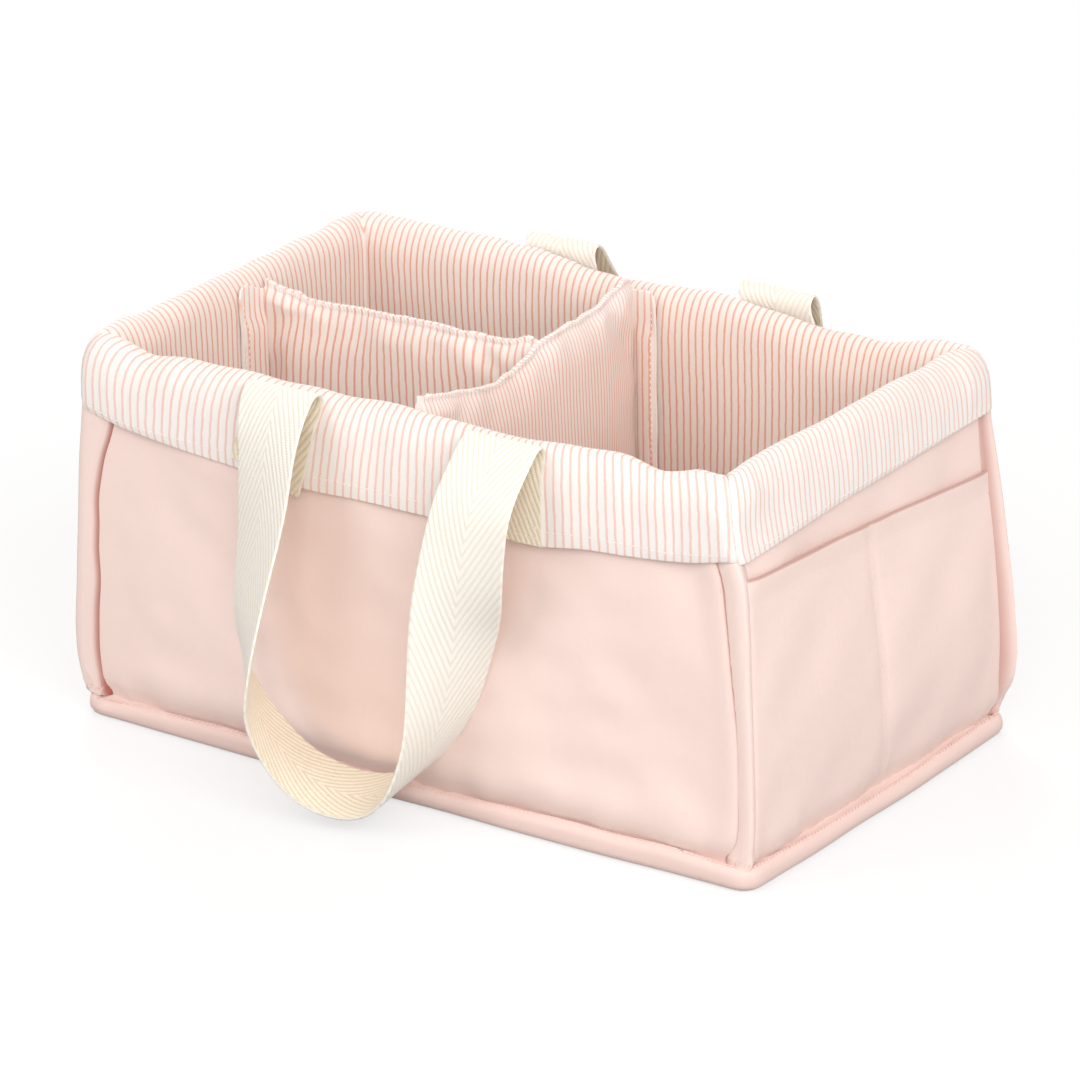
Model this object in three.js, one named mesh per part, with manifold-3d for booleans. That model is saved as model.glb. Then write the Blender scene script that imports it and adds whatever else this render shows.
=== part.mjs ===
// Soft fabric caddy for nappies and baby care things: a padded box with stiff boards in its walls,
// a striped lining turned down over the rim as a cuff, two lift-out dividers held by hook-and-loop tabs,
// a slanted pocket on each end and two webbing handles.
// Millimetres. The origin is the middle of the underside, +X runs to the right end, -Y to the front, +Z up.
import * as THREE from 'three';
import { mergeVertices } from 'three/addons/utils/BufferGeometryUtils.js';
import Module from 'manifold-3d';

const wasm = await Module();
wasm.setup();

// The box, measured over the outer panels
const bodyLength = 372;
const bodyWidth = 216;
const rimHeight = 197;
const cornerRadius = 8;
const tightRadius = 0.5;

// Room between pieces that touch, and at the sewn corners where four walls meet
const clearance = 0.3;
const mitreGap = 0.22;
const cutOverrun = 2;

// Layers of a wall, from the outside in
const panelThickness = 3;
const boardThickness = 3;
const paddingThickness = 6.5;
const liningThickness = 1.5;
const cuffPaddingThickness = 2.5;

// The cuff turned down over the rim
const cuffDrop = 37;
const cuffDroop = 5;
const longRimSag = 6;
const shortRimSag = 1.5;
const paddingHemInset = 1.5;
const panelBelly = 4;

// The base
const baseHeight = 11;
const baseOverhang = 9;
const baseSideOverhang = 6;
const baseBow = 3;
const baseEndBow = 1.5;
const baseCornerRadius = 14;
const baseEdgeRound = 4;
const baseSkin = 2;
const baseBoardThickness = 3;
const floorPaddingThickness = 4;
const floorLiningThickness = 1.5;
const floorCornerRadius = 3;

// Corner folds and end pockets
const foldWidth = 12;
const foldThickness = 2.5;
const frontFoldLift = 1;
const backFoldLift = 7;
const pocketThickness = 2;
const pocketBulge = 7;
const pocketMouthStartHeight = 150;
const pocketMouthEndHeight = 135;

// Dividers
const dividerHeight = 178;
const dividerThickness = 12;
const dividerEdgeRoll = 14;
const dividerSag = 3;
const seamRidge = 3;
const dividerBoardThickness = 3;
const dividerBoardMargin = 16;
const lengthwiseDividerY = 12;
const tabThickness = 2;
const tabBottom = 30;
const tabTop = 184;
const stripTop = 168;
const wideTab = 18;
const narrowTab = 14;
const hookThickness = 1.2;
const hookMargin = 2;
const tabCornerRadius = 3;

// Handles
const webbingWidth = 40;
const webbingThickness = 1.6;
const handleSpacing = 126;
const handleHingeDrop = 7;
const handleArchRadius = 5.5;
const handleStub = 12;
const handleFloorRoom = 12;
const handleSwing = 22;
const handleEndInset = 0.8;
const handleEndTopInset = 0.5;

// How finely curved forms are cut
const straightSteps = 8;
const rollSteps = 8;
const panelSteps = 5;
const pocketSteps = 12;
const archSteps = 6;
const loopSteps = 44;
const bevelSteps = 3;
const curveSteps = 6;
const plateCornerSteps = 3;

// Where things lie in a wall: distances in from the outer panel's outer side
const boardDepth = panelThickness + clearance;
const paddingDepth = boardDepth + boardThickness + clearance;
const liningDepth = paddingDepth + paddingThickness + clearance;
const wallDepth = liningDepth + liningThickness;
const cuffLiningDepth = -(2 * clearance + cuffPaddingThickness);
const cuffDepth = cuffLiningDepth - liningThickness;
const rollRadius = (wallDepth - cuffDepth) / 2;
const footHeight = baseHeight + clearance;
const floorHeight = baseSkin + baseBoardThickness + floorPaddingThickness + floorLiningThickness
  + 3 * clearance;

const materials = {
  cotton: { color: 0xf0cfc6, roughness: 0.9 },
  stripedCotton: { color: 0xf7e6de, roughness: 0.9 },
  wadding: { color: 0xf4f2ee, roughness: 1 },
  board: { color: 0xc9b08c, roughness: 0.8 },
  webbing: { color: 0xf3ead9, roughness: 0.85 },
  hookAndLoop: { color: 0xf2e9e4, roughness: 0.95 },
};

const caddy = new THREE.Group();

// Adds a named piece with a material of its own
function addPiece(parent, name, finish, geometry) {
  const material = new THREE.MeshStandardMaterial({ ...materials[finish], metalness: 0 });
  const piece = new THREE.Mesh(geometry, material);
  piece.name = name;
  parent.add(piece);
  return piece;
}

function enclosedVolume(positions, index) {
  const a = new THREE.Vector3();
  const b = new THREE.Vector3();
  const c = new THREE.Vector3();
  let sum = 0;
  for (let i = 0; i < index.length; i += 3) {
    a.fromArray(positions, 3 * index[i]);
    b.fromArray(positions, 3 * index[i + 1]);
    c.fromArray(positions, 3 * index[i + 2]);
    sum += a.dot(b.cross(c));
  }
  return sum;
}

function closedGeometry(positions, index) {
  const facesIn = enclosedVolume(positions, index) < 0;
  const geometry = new THREE.BufferGeometry();
  geometry.setAttribute('position', new THREE.Float32BufferAttribute(positions, 3));
  geometry.setIndex(facesIn ? index.slice().reverse() : index);
  geometry.computeVertexNormals();
  return geometry;
}

// A sheet with two sides, each a grid of points, closed around its edge
function closedSheet(columns, rows, face, back) {
  const positions = [];
  for (const side of [face, back]) {
    for (let i = 0; i <= columns; i++) {
      for (let j = 0; j <= rows; j++) {
        positions.push(...side(i, j));
      }
    }
  }
  const sideCount = (columns + 1) * (rows + 1);
  const at = (side, i, j) => side * sideCount + i * (rows + 1) + j;
  const index = [];
  const quad = (a, b, c, d) => index.push(a, b, c, a, c, d);
  for (let i = 0; i < columns; i++) {
    for (let j = 0; j < rows; j++) {
      quad(at(0, i, j), at(0, i + 1, j), at(0, i + 1, j + 1), at(0, i, j + 1));
      quad(at(1, i, j), at(1, i, j + 1), at(1, i + 1, j + 1), at(1, i + 1, j));
    }
    quad(at(0, i, 0), at(1, i, 0), at(1, i + 1, 0), at(0, i + 1, 0));
    quad(at(0, i, rows), at(0, i + 1, rows), at(1, i + 1, rows), at(1, i, rows));
  }
  for (let j = 0; j < rows; j++) {
    quad(at(0, 0, j), at(0, 0, j + 1), at(1, 0, j + 1), at(1, 0, j));
    quad(at(0, columns, j), at(1, columns, j), at(1, columns, j + 1), at(0, columns, j + 1));
  }
  return closedGeometry(positions, index);
}

function toManifold(geometry) {
  const bare = geometry.clone();
  bare.deleteAttribute('normal');
  bare.deleteAttribute('uv');
  const merged = mergeVertices(bare);
  const mesh = new wasm.Mesh({
    numProp: 3,
    vertProperties: new Float32Array(merged.attributes.position.array),
    triVerts: new Uint32Array(merged.index.array),
  });
  return new wasm.Manifold(mesh);
}

function cutAway(geometry, tool) {
  const mesh = toManifold(geometry).subtract(toManifold(tool)).getMesh();
  return closedGeometry(Array.from(mesh.vertProperties), Array.from(mesh.triVerts));
}

// A rectangle with round corners, centred on the origin
function roundedRectangle(width, height, radius) {
  const x = width / 2;
  const y = height / 2;
  const shape = new THREE.Shape();
  shape.moveTo(radius - x, -y);
  shape.lineTo(x - radius, -y);
  shape.absarc(x - radius, radius - y, radius, -Math.PI / 2, 0);
  shape.lineTo(x, y - radius);
  shape.absarc(x - radius, y - radius, radius, 0, Math.PI / 2);
  shape.lineTo(radius - x, y);
  shape.absarc(radius - x, y - radius, radius, Math.PI / 2, Math.PI);
  shape.lineTo(-x, radius - y);
  shape.absarc(radius - x, radius - y, radius, Math.PI, 3 * Math.PI / 2);
  return shape;
}

// A flat plate with round corners, its underside at height 0
function plate(width, height, thickness, radius) {
  const shape = roundedRectangle(width, height, radius);
  const settings = { depth: thickness, bevelEnabled: false, curveSegments: plateCornerSteps };
  return new THREE.ExtrudeGeometry(shape, settings);
}

// The same plate stood on edge: its width along X, its thickness along Y, its height along Z
function standingPlate(width, height, thickness, radius) {
  const geometry = plate(width, height, thickness, radius);
  geometry.rotateX(Math.PI / 2);
  geometry.translate(0, thickness / 2, 0);
  return geometry;
}

// Walls

const halfLength = bodyLength / 2;
const halfWidth = bodyWidth / 2;
const sides = {
  front: { along: [1, 0], out: [0, -1], halfRun: halfLength, halfGap: halfWidth, sag: longRimSag },
  right: { along: [0, 1], out: [1, 0], halfRun: halfWidth, halfGap: halfLength, sag: shortRimSag },
  back: { along: [-1, 0], out: [0, 1], halfRun: halfLength, halfGap: halfWidth, sag: longRimSag },
  left: { along: [0, -1], out: [-1, 0], halfRun: halfWidth, halfGap: halfLength, sag: shortRimSag },
};
for (const side of [sides.front, sides.back]) {
  side.droop = cuffDroop;
  side.belly = panelBelly;
}
for (const side of [sides.right, sides.left]) {
  side.droop = 0;
  side.belly = 0;
}

// Stations across a wall: run goes from -1 to 1 along its straight part, turn is the angle round a corner
function wallStations(steps) {
  const stations = [{ run: -1, turn: -Math.PI / 4 }, { run: -1, turn: -Math.PI / 8 }];
  for (let i = 0; i <= steps; i++) {
    stations.push({ run: 2 * i / steps - 1, turn: 0 });
  }
  stations.push({ run: 1, turn: Math.PI / 8 }, { run: 1, turn: Math.PI / 4 });
  return stations;
}

// A point of a wall at a station, a distance in from the outer panel's outer side and a height.
// Near a corner the wall turns on a rounded plan and ends on the corner's mitre.
function wallPoint(side, station, depth, height) {
  const radius = Math.max(cornerRadius - depth, tightRadius);
  const straight = side.halfRun - depth - radius - mitreGap;
  const backed = Math.sign(station.run) * (station.back ?? 0);
  const run = station.run * straight - backed + Math.sin(station.turn) * radius;
  const out = side.halfGap - depth - radius * (1 - Math.cos(station.turn));
  const x = side.along[0] * run + side.out[0] * out;
  const y = side.along[1] * run + side.out[1] * out;
  return [x, y, height];
}

const middle = (run) => Math.cos(run * Math.PI / 2) ** 2;
const crestHeight = (side, run) => rimHeight - side.sag * middle(run);
const rollHeight = (side, run) => crestHeight(side, run) - rollRadius;
const hemHeight = (side, run) => crestHeight(side, run) - cuffDrop - side.droop * middle(run);

// Up the inside of a wall, over the rim and down the cuff: one face of a turned-over layer
function turnedOver(side, station, innerDepth, outerDepth, hem) {
  const rollAt = rollHeight(side, station.run);
  const centre = (innerDepth + outerDepth) / 2;
  const radius = (innerDepth - outerDepth) / 2;
  const points = [[innerDepth, footHeight]];
  for (let i = 0; i <= rollSteps; i++) {
    const angle = Math.PI * i / rollSteps;
    points.push([centre + radius * Math.cos(angle), rollAt + radius * Math.sin(angle)]);
  }
  points.push([outerDepth, hem]);
  return points.map(([depth, height]) => wallPoint(side, station, depth, height));
}

function turnedOverLayer(side, face, back, hemInset) {
  const stations = wallStations(straightSteps);
  const grid = ([inner, outer]) => stations.map((station) => {
    const hem = hemHeight(side, station.run) + hemInset;
    return turnedOver(side, station, inner, outer, hem);
  });
  const faceGrid = grid(face);
  const backGrid = grid(back);
  const rows = faceGrid[0].length - 1;
  return closedSheet(stations.length - 1, rows, (i, j) => faceGrid[i][j], (i, j) => backGrid[i][j]);
}

// The outer panel swells a little between the base and the cuff, and runs up under the cuff
function outerPanel(side) {
  const stations = wallStations(straightSteps);
  const row = (i, j, face) => {
    const station = stations[i];
    const cuffEdge = hemHeight(side, station.run) - paddingHemInset;
    const share = Math.min(j / panelSteps, 1);
    const swell = side.belly * (1 - station.run ** 2) ** 2 * Math.sin(Math.PI * share);
    const top = rollHeight(side, station.run) - clearance;
    const height = j > panelSteps ? top : footHeight + share * (cuffEdge - footHeight);
    return wallPoint(side, station, face ? -swell : panelThickness, height);
  };
  const columns = stations.length - 1;
  return closedSheet(columns, panelSteps + 1, (i, j) => row(i, j, true), (i, j) => row(i, j, false));
}

function stiffener(side) {
  const lowest = rollHeight(side, 0) - clearance;
  const height = lowest - footHeight;
  const endInset = Math.max(cornerRadius, boardDepth + boardThickness + clearance);
  const width = 2 * (side.halfRun - endInset);
  return standingPlate(width, height, boardThickness, floorCornerRadius);
}

for (const [name, side] of Object.entries(sides)) {
  addPiece(caddy, `${name}_outer_panel`, 'cotton', outerPanel(side));
  const board = addPiece(caddy, `${name}_board`, 'board', stiffener(side));
  const boardMiddle = side.halfGap - boardDepth - boardThickness / 2;
  const boardHeight = (rollHeight(side, 0) - clearance + footHeight) / 2;
  board.position.set(side.out[0] * boardMiddle, side.out[1] * boardMiddle, boardHeight);
  board.rotation.z = Math.atan2(side.along[1], side.along[0]);
  const paddingFace = [paddingDepth + paddingThickness, -clearance - cuffPaddingThickness];
  const paddingBack = [paddingDepth, -clearance];
  const padding = turnedOverLayer(side, paddingFace, paddingBack, paddingHemInset);
  addPiece(caddy, `${name}_padding`, 'wadding', padding);
  const lining = turnedOverLayer(side, [wallDepth, cuffDepth], [liningDepth, cuffLiningDepth], 0);
  addPiece(caddy, `${name}_lining`, 'stripedCotton', lining);
}

// Base

// Outline of the base: round corners, and sides that bow out a little
function baseOutline(halfX, halfY, radius, bowX, bowY) {
  const shape = new THREE.Shape();
  shape.moveTo(radius - halfX, -halfY);
  shape.quadraticCurveTo(0, -halfY - 2 * bowY, halfX - radius, -halfY);
  shape.absarc(halfX - radius, radius - halfY, radius, -Math.PI / 2, 0);
  shape.quadraticCurveTo(halfX + 2 * bowX, 0, halfX, halfY - radius);
  shape.absarc(halfX - radius, halfY - radius, radius, 0, Math.PI / 2);
  shape.quadraticCurveTo(0, halfY + 2 * bowY, radius - halfX, halfY);
  shape.absarc(radius - halfX, halfY - radius, radius, Math.PI / 2, Math.PI);
  shape.quadraticCurveTo(-halfX - 2 * bowX, 0, -halfX, radius - halfY);
  shape.absarc(radius - halfX, radius - halfY, radius, Math.PI, 3 * Math.PI / 2);
  return shape;
}

const recessLength = bodyLength - 2 * (wallDepth + clearance);
const recessWidth = bodyWidth - 2 * (wallDepth + clearance);

function baseCover() {
  const halfX = halfLength + baseOverhang;
  const halfY = halfWidth + baseSideOverhang;
  const outline = baseOutline(halfX, halfY, baseCornerRadius, baseEndBow, baseBow);
  const cushion = new THREE.ExtrudeGeometry(outline, {
    depth: baseHeight - 2 * baseEdgeRound,
    bevelThickness: baseEdgeRound,
    bevelSize: baseEdgeRound,
    bevelOffset: -baseEdgeRound,
    bevelSegments: bevelSteps,
    curveSegments: curveSteps,
  });
  cushion.translate(0, 0, baseEdgeRound);
  const recess = plate(recessLength, recessWidth, baseHeight - baseSkin + cutOverrun, floorCornerRadius);
  recess.translate(0, 0, baseSkin);
  return cutAway(cushion, recess);
}

// A layer laid in the base's recess
function floorLayer(thickness) {
  const length = recessLength - 2 * clearance;
  const width = recessWidth - 2 * clearance;
  return plate(length, width, thickness, floorCornerRadius);
}

addPiece(caddy, 'base_cover', 'cotton', baseCover());
const floorLayers = [
  ['base_board', 'board', baseBoardThickness],
  ['floor_padding', 'wadding', floorPaddingThickness],
  ['floor_lining', 'stripedCotton', floorLiningThickness],
];
let layerHeight = baseSkin + clearance;
for (const [name, finish, thickness] of floorLayers) {
  addPiece(caddy, name, finish, floorLayer(thickness)).position.z = layerHeight;
  layerHeight += thickness + clearance;
}

// Corner folds: the end panels' seam, turned on to the front and back and standing off at its free edge

const foldRunShare = 1;
const foldStepShares = [0, 0.2, 0.4, 0.6, 0.8, 1];
const foldStations = [
  { back: foldWidth - cornerRadius, turn: 0, lift: 1 },
  { back: (foldWidth - cornerRadius) / 2, turn: 0, lift: 0.35 },
  { back: 0, turn: 0, lift: 0 },
  { back: 0, turn: Math.PI / 8, lift: 0 },
  { back: 0, turn: Math.PI / 4, lift: 0 },
];

function cornerFold(side, end, lift) {
  const top = hemHeight(side, foldRunShare) - clearance;
  const point = (i, j, depth) => {
    const { back, turn, lift: liftShare } = foldStations[i];
    const share = foldStepShares[j];
    const stand = lift * liftShare * Math.sin(Math.PI * share);
    const station = { run: end, turn: end * turn, back };
    return wallPoint(side, station, depth - stand, footHeight + share * (top - footHeight));
  };
  const columns = foldStations.length - 1;
  const face = (i, j) => point(i, j, -clearance - foldThickness);
  const back = (i, j) => point(i, j, -clearance);
  return closedSheet(columns, foldStepShares.length - 1, face, back);
}

const folds = [
  ['corner_fold_front_left', sides.front, -1, frontFoldLift],
  ['corner_fold_front_right', sides.front, 1, frontFoldLift],
  ['corner_fold_back_right', sides.back, -1, backFoldLift],
  ['corner_fold_back_left', sides.back, 1, backFoldLift],
];
for (const [name, side, end, lift] of folds) {
  addPiece(caddy, name, 'cotton', cornerFold(side, end, lift));
}

// End pockets: a sheet sewn down at its sides, its foot and its middle, with a slanted mouth

const pocketRiseShares = [0, 0.12, 0.3, 0.55, 0.8, 1];
const pocketSwellShares = [0, 0.55, 0.88, 1, 1, 0.94];
const pocketRoundShare = 0.6;

function endPocket(side) {
  const stations = wallStations(pocketSteps);
  const point = (i, j, depth) => {
    const station = stations[i];
    const mouthShare = (station.run + 1) / 2;
    const mouthDrop = mouthShare * (pocketMouthStartHeight - pocketMouthEndHeight);
    const mouth = pocketMouthStartHeight - mouthDrop;
    const across = Math.abs(Math.sin(Math.PI * station.run)) ** pocketRoundShare;
    const swell = pocketBulge * across * pocketSwellShares[j];
    const height = footHeight + pocketRiseShares[j] * (mouth - footHeight);
    return wallPoint(side, station, depth - swell, height);
  };
  const face = (i, j) => point(i, j, -clearance - pocketThickness);
  const back = (i, j) => point(i, j, -clearance);
  return closedSheet(stations.length - 1, pocketRiseShares.length - 1, face, back);
}

addPiece(caddy, 'right_pocket', 'cotton', endPocket(sides.right));
addPiece(caddy, 'left_pocket', 'cotton', endPocket(sides.left));

// Dividers: a padded pillow with a board inside, sewn along its top in a standing ridge

const dividerFoot = floorHeight + clearance;
const dividerEndShare = 0.5;
const dividerRidgeShare = 0.2;
const dividerFootShare = 0.7;
const rollShares = [0, 0.15, 0.45, 1];

// Distances along a length, close together near its ends where the pillow rolls over
function pillowSteps(length, middleSteps) {
  const start = rollShares.map((share) => share * dividerEdgeRoll);
  const between = [];
  for (let i = 1; i < middleSteps; i++) {
    between.push(dividerEdgeRoll + (length - 2 * dividerEdgeRoll) * i / middleSteps);
  }
  return [...start, ...between, ...start.map((step) => length - step).reverse()];
}

// How full the pillow is a distance from an edge, from that edge's own share to 1
function fullness(distance, edgeShare) {
  const near = Math.min(distance / dividerEdgeRoll, 1);
  return edgeShare + (1 - edgeShare) * (1 - (1 - near) ** 2);
}

function dividerCover(length, board) {
  const runs = pillowSteps(length, 6);
  const pillowHeight = dividerHeight - seamRidge;
  const rises = [...pillowSteps(pillowHeight, 4), dividerHeight];
  const point = (i, j, face) => {
    const run = runs[i];
    const rise = rises[j];
    const ends = fullness(Math.min(run, length - run), dividerEndShare);
    const foot = fullness(rise, dividerFootShare);
    const top = fullness(Math.max(pillowHeight - rise, 0), dividerRidgeShare);
    const half = dividerThickness / 2 * ends * foot * top;
    const sag = dividerSag * Math.sin(Math.PI * run / length) * rise / dividerHeight;
    return [run - length / 2, face * half, dividerFoot + rise - sag];
  };
  const front = (i, j) => point(i, j, -1);
  const back = (i, j) => point(i, j, 1);
  const pillow = closedSheet(runs.length - 1, rises.length - 1, front, back);
  const slot = new THREE.BoxGeometry(
    board.length + 2 * clearance,
    dividerBoardThickness + 2 * clearance,
    board.height + clearance + cutOverrun,
  );
  slot.translate(0, 0, dividerFoot + (board.height + clearance - cutOverrun) / 2);
  return cutAway(pillow, slot);
}

// Places along the way from a wall into the box, at a divider's end
const loopStripOffset = clearance + hookThickness / 2;
const hookStripOffset = 2 * clearance + 3 * hookThickness / 2;
const tabOffset = 3 * clearance + 2 * hookThickness + tabThickness / 2;
const tabReach = tabOffset + tabThickness / 2;
const tabStart = dividerThickness / 2 * fullness(tabReach - clearance, dividerEndShare) + clearance;

// One end of a divider: the tab along the wall, the hook strip on it and the loop strip on the wall
function dividerEnd(group, names, wallAt, end, side, width) {
  const tabMiddle = side * (tabStart + width / 2);
  const stripWidth = width - 2 * hookMargin;
  const stripBottom = tabBottom + hookMargin;
  const pieces = [
    [names.tab, 'stripedCotton', tabOffset, width, tabBottom, tabTop, tabThickness],
    [names.hook, 'hookAndLoop', hookStripOffset, stripWidth, stripBottom, stripTop, hookThickness],
    [names.loop, 'hookAndLoop', loopStripOffset, stripWidth, stripBottom, stripTop, hookThickness],
  ];
  for (const [name, finish, offset, pieceWidth, bottom, top, thickness] of pieces) {
    const geometry = standingPlate(pieceWidth, top - bottom, thickness, tabCornerRadius);
    const piece = addPiece(group, name, finish, geometry);
    piece.rotation.z = Math.PI / 2;
    piece.position.set(end * (wallAt - offset), tabMiddle, (top + bottom) / 2);
  }
}

// A divider that fills the length between two walls, centred on its own group's origin
function divider(name, clearLength) {
  const group = new THREE.Group();
  const length = clearLength - 2 * clearance;
  const board = { length: length - 2 * dividerBoardMargin, height: dividerHeight - 2 * dividerBoardMargin };
  addPiece(group, `${name}_cover`, 'stripedCotton', dividerCover(length, board));
  const boardGeometry = standingPlate(board.length, board.height, dividerBoardThickness, tabCornerRadius);
  const boardPiece = addPiece(group, `${name}_board`, 'board', boardGeometry);
  boardPiece.position.z = dividerFoot + board.height / 2;
  caddy.add(group);
  return group;
}

const innerHalfWidth = halfWidth - wallDepth;
const innerHalfLength = halfLength - wallDepth;

const crossDivider = divider('cross_divider', 2 * innerHalfWidth);
crossDivider.rotation.z = Math.PI / 2;
for (const [end, place] of [[1, 'back'], [-1, 'front']]) {
  const names = {
    tab: `cross_divider_${place}_tab`,
    hook: `cross_divider_${place}_hook_strip`,
    loop: `${place}_wall_loop_strip`,
  };
  dividerEnd(crossDivider, names, innerHalfWidth, end, -1, narrowTab);
}

// The lengthwise divider parts the left half, from the left wall to the cross divider
const lengthwiseSpan = innerHalfLength - dividerThickness / 2;
const lengthwiseDivider = divider('lengthwise_divider', lengthwiseSpan);
lengthwiseDivider.position.x = -dividerThickness / 2 - lengthwiseSpan / 2;
lengthwiseDivider.position.y = lengthwiseDividerY;
const wallEnd = {
  tab: 'lengthwise_divider_wall_tab',
  hook: 'lengthwise_divider_wall_hook_strip',
  loop: 'left_wall_loop_strip',
};
dividerEnd(lengthwiseDivider, wallEnd, lengthwiseSpan / 2, -1, -1, wideTab);
const innerEnd = {
  tab: 'lengthwise_divider_inner_tab',
  hook: 'lengthwise_divider_inner_hook_strip',
  loop: 'cross_divider_loop_strip',
};
dividerEnd(lengthwiseDivider, innerEnd, lengthwiseSpan / 2, 1, 1, narrowTab);

// Handles: webbing sewn to the cuff, turned over at the rim and hanging in a loop beside the wall

const handleEndY = halfWidth - cuffDepth + clearance + webbingThickness / 2;
const handleStubY = handleEndY + webbingThickness + clearance;
const handleHangY = handleStubY + 2 * handleArchRadius;
const handleHingeHeight = rimHeight - handleHingeDrop;
const handleDrop = handleHingeHeight - handleFloorRoom;

// The hanging loop, from one arch to the other: share of the half spacing, share of the swing away from
// the wall, share of the drop, how far the strap has turned, as a share of a half turn, and how far its
// width leans up
const loopShares = [
  [-1, 0, 0, 0, 0],
  [-0.95, 0.3, 0.15, 0.1, -0.1],
  [-1, 0.7, 0.4, 0.15, 0],
  [-1, 1, 0.65, 0.25, 0.15],
  [-0.95, 1, 0.8, 0.35, 0.3],
  [-0.5, 0.85, 0.98, 0.35, 0.2],
  [0.15, 0.6, 0.98, 0.45, 0.1],
  [0.55, 0.4, 0.8, 0.6, 0.35],
  [0.7, 0.35, 0.55, 0.7, 0.6],
  [0.95, 0.75, 0.35, 0.9, 0.4],
  [1, 0.5, 0.15, 1, 0],
  [1, 0, 0, 1, 0],
];

const halfSpacing = handleSpacing / 2;

// Centre line and width direction of the loop, as a list of frames from the left stub to the right one
function loopFrames() {
  const frames = [];
  const arch = (end) => {
    const points = [[handleStubY, handleHingeHeight - handleStub]];
    for (let i = 0; i <= archSteps; i++) {
      const angle = Math.PI * i / archSteps;
      const y = handleStubY + handleArchRadius * (1 - Math.cos(angle));
      points.push([y, handleHingeHeight + handleArchRadius * Math.sin(angle)]);
    }
    return points.map(([y, z]) => ({
      centre: new THREE.Vector3(end * halfSpacing, -y, z),
      width: new THREE.Vector3(-1, 0, 0).multiplyScalar(-end),
    }));
  };
  const knots = loopShares.map(([across, swing, drop]) => new THREE.Vector3(
    across * halfSpacing,
    -handleHangY - swing * handleSwing,
    handleHingeHeight - drop * handleDrop,
  ));
  const centreLine = new THREE.CatmullRomCurve3(knots);
  const turns = new THREE.SplineCurve(loopShares.map((knot, i) => new THREE.Vector2(i, knot[3])));
  const leans = new THREE.SplineCurve(loopShares.map((knot, i) => new THREE.Vector2(i, knot[4])));
  frames.push(...arch(-1));
  for (let i = 1; i < loopSteps; i++) {
    const share = i / loopSteps;
    const angle = Math.PI * (1 - turns.getPoint(share).y);
    frames.push({
      centre: centreLine.getPoint(share),
      width: new THREE.Vector3(Math.cos(angle), Math.sin(angle), leans.getPoint(share).y),
    });
  }
  frames.push(...arch(1).reverse());
  return frames;
}

// Webbing along the frames: four corners at each, squared to the way the strap runs
function webbingLoop(frames) {
  const tangent = new THREE.Vector3();
  const corners = frames.map(({ centre, width }, i) => {
    const before = frames[Math.max(i - 1, 0)].centre;
    const after = frames[Math.min(i + 1, frames.length - 1)].centre;
    tangent.subVectors(after, before).normalize();
    const across = width.clone().addScaledVector(tangent, -width.dot(tangent)).normalize();
    const normal = new THREE.Vector3().crossVectors(tangent, across);
    across.multiplyScalar(webbingWidth / 2);
    normal.multiplyScalar(webbingThickness / 2);
    return [[1, 1], [1, -1], [-1, -1], [-1, 1]].map(([a, n]) => (
      centre.clone().addScaledVector(across, a).addScaledVector(normal, n)
    ));
  });
  const face = (i, j) => corners[i][j === 0 ? 0 : 3].toArray();
  const back = (i, j) => corners[i][j === 0 ? 1 : 2].toArray();
  return closedSheet(frames.length - 1, 1, face, back);
}

function handle(place, turn) {
  const group = new THREE.Group();
  addPiece(group, `${place}_handle_loop`, 'webbing', webbingLoop(loopFrames()));
  const endRun = halfSpacing / halfLength;
  const bottom = hemHeight(sides.front, endRun) + handleEndInset;
  const top = rollHeight(sides.front, endRun) - handleEndTopInset;
  for (const [end, name] of [[-1, 'left'], [1, 'right']]) {
    const shownName = turn === 0 ? name : { left: 'right', right: 'left' }[name];
    const geometry = standingPlate(webbingWidth, top - bottom, webbingThickness, tightRadius);
    const piece = addPiece(group, `${place}_handle_end_${shownName}`, 'webbing', geometry);
    piece.position.set(end * halfSpacing, -handleEndY, (top + bottom) / 2);
  }
  group.rotation.z = turn;
  caddy.add(group);
}

handle('front', 0);
handle('back', Math.PI);

export default caddy;
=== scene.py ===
import math

import bpy
import numpy as np
from mathutils import Matrix, Vector


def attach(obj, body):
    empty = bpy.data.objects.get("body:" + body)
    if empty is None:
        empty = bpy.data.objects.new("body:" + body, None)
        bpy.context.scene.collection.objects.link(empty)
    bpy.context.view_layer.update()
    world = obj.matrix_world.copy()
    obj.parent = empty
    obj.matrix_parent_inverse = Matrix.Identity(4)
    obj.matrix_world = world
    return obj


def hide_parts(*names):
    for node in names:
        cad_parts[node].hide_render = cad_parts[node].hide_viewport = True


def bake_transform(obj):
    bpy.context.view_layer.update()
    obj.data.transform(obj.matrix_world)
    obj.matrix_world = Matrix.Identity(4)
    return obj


# Soft caddy in pale pink cotton: striped lining, two pockets, two lift-out dividers, webbing handles.
# Shapes are worked out in millimetres and made in metres. -Y is the front, +X the right end.
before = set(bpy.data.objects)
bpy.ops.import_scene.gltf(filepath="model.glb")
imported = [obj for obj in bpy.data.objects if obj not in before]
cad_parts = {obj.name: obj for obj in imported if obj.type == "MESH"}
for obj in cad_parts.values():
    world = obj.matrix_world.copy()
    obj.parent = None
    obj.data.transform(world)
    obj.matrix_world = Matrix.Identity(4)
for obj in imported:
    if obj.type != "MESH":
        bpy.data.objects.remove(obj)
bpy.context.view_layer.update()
scene = bpy.context.scene
mm = 0.001
print("frame loaded, nodes:", len(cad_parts))


# Camera

cameraSetup = {
    "azimuth": 35.657,     # degrees round from the front
    "elevation": 21.650,
    "roll": -1.112,
    "distance": 2.91104,
    "right": 0.0004,       # where it aims, off the origin
    "up": 0.08774,
    "lens": 200,
    "sensor": 36,
}


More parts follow.
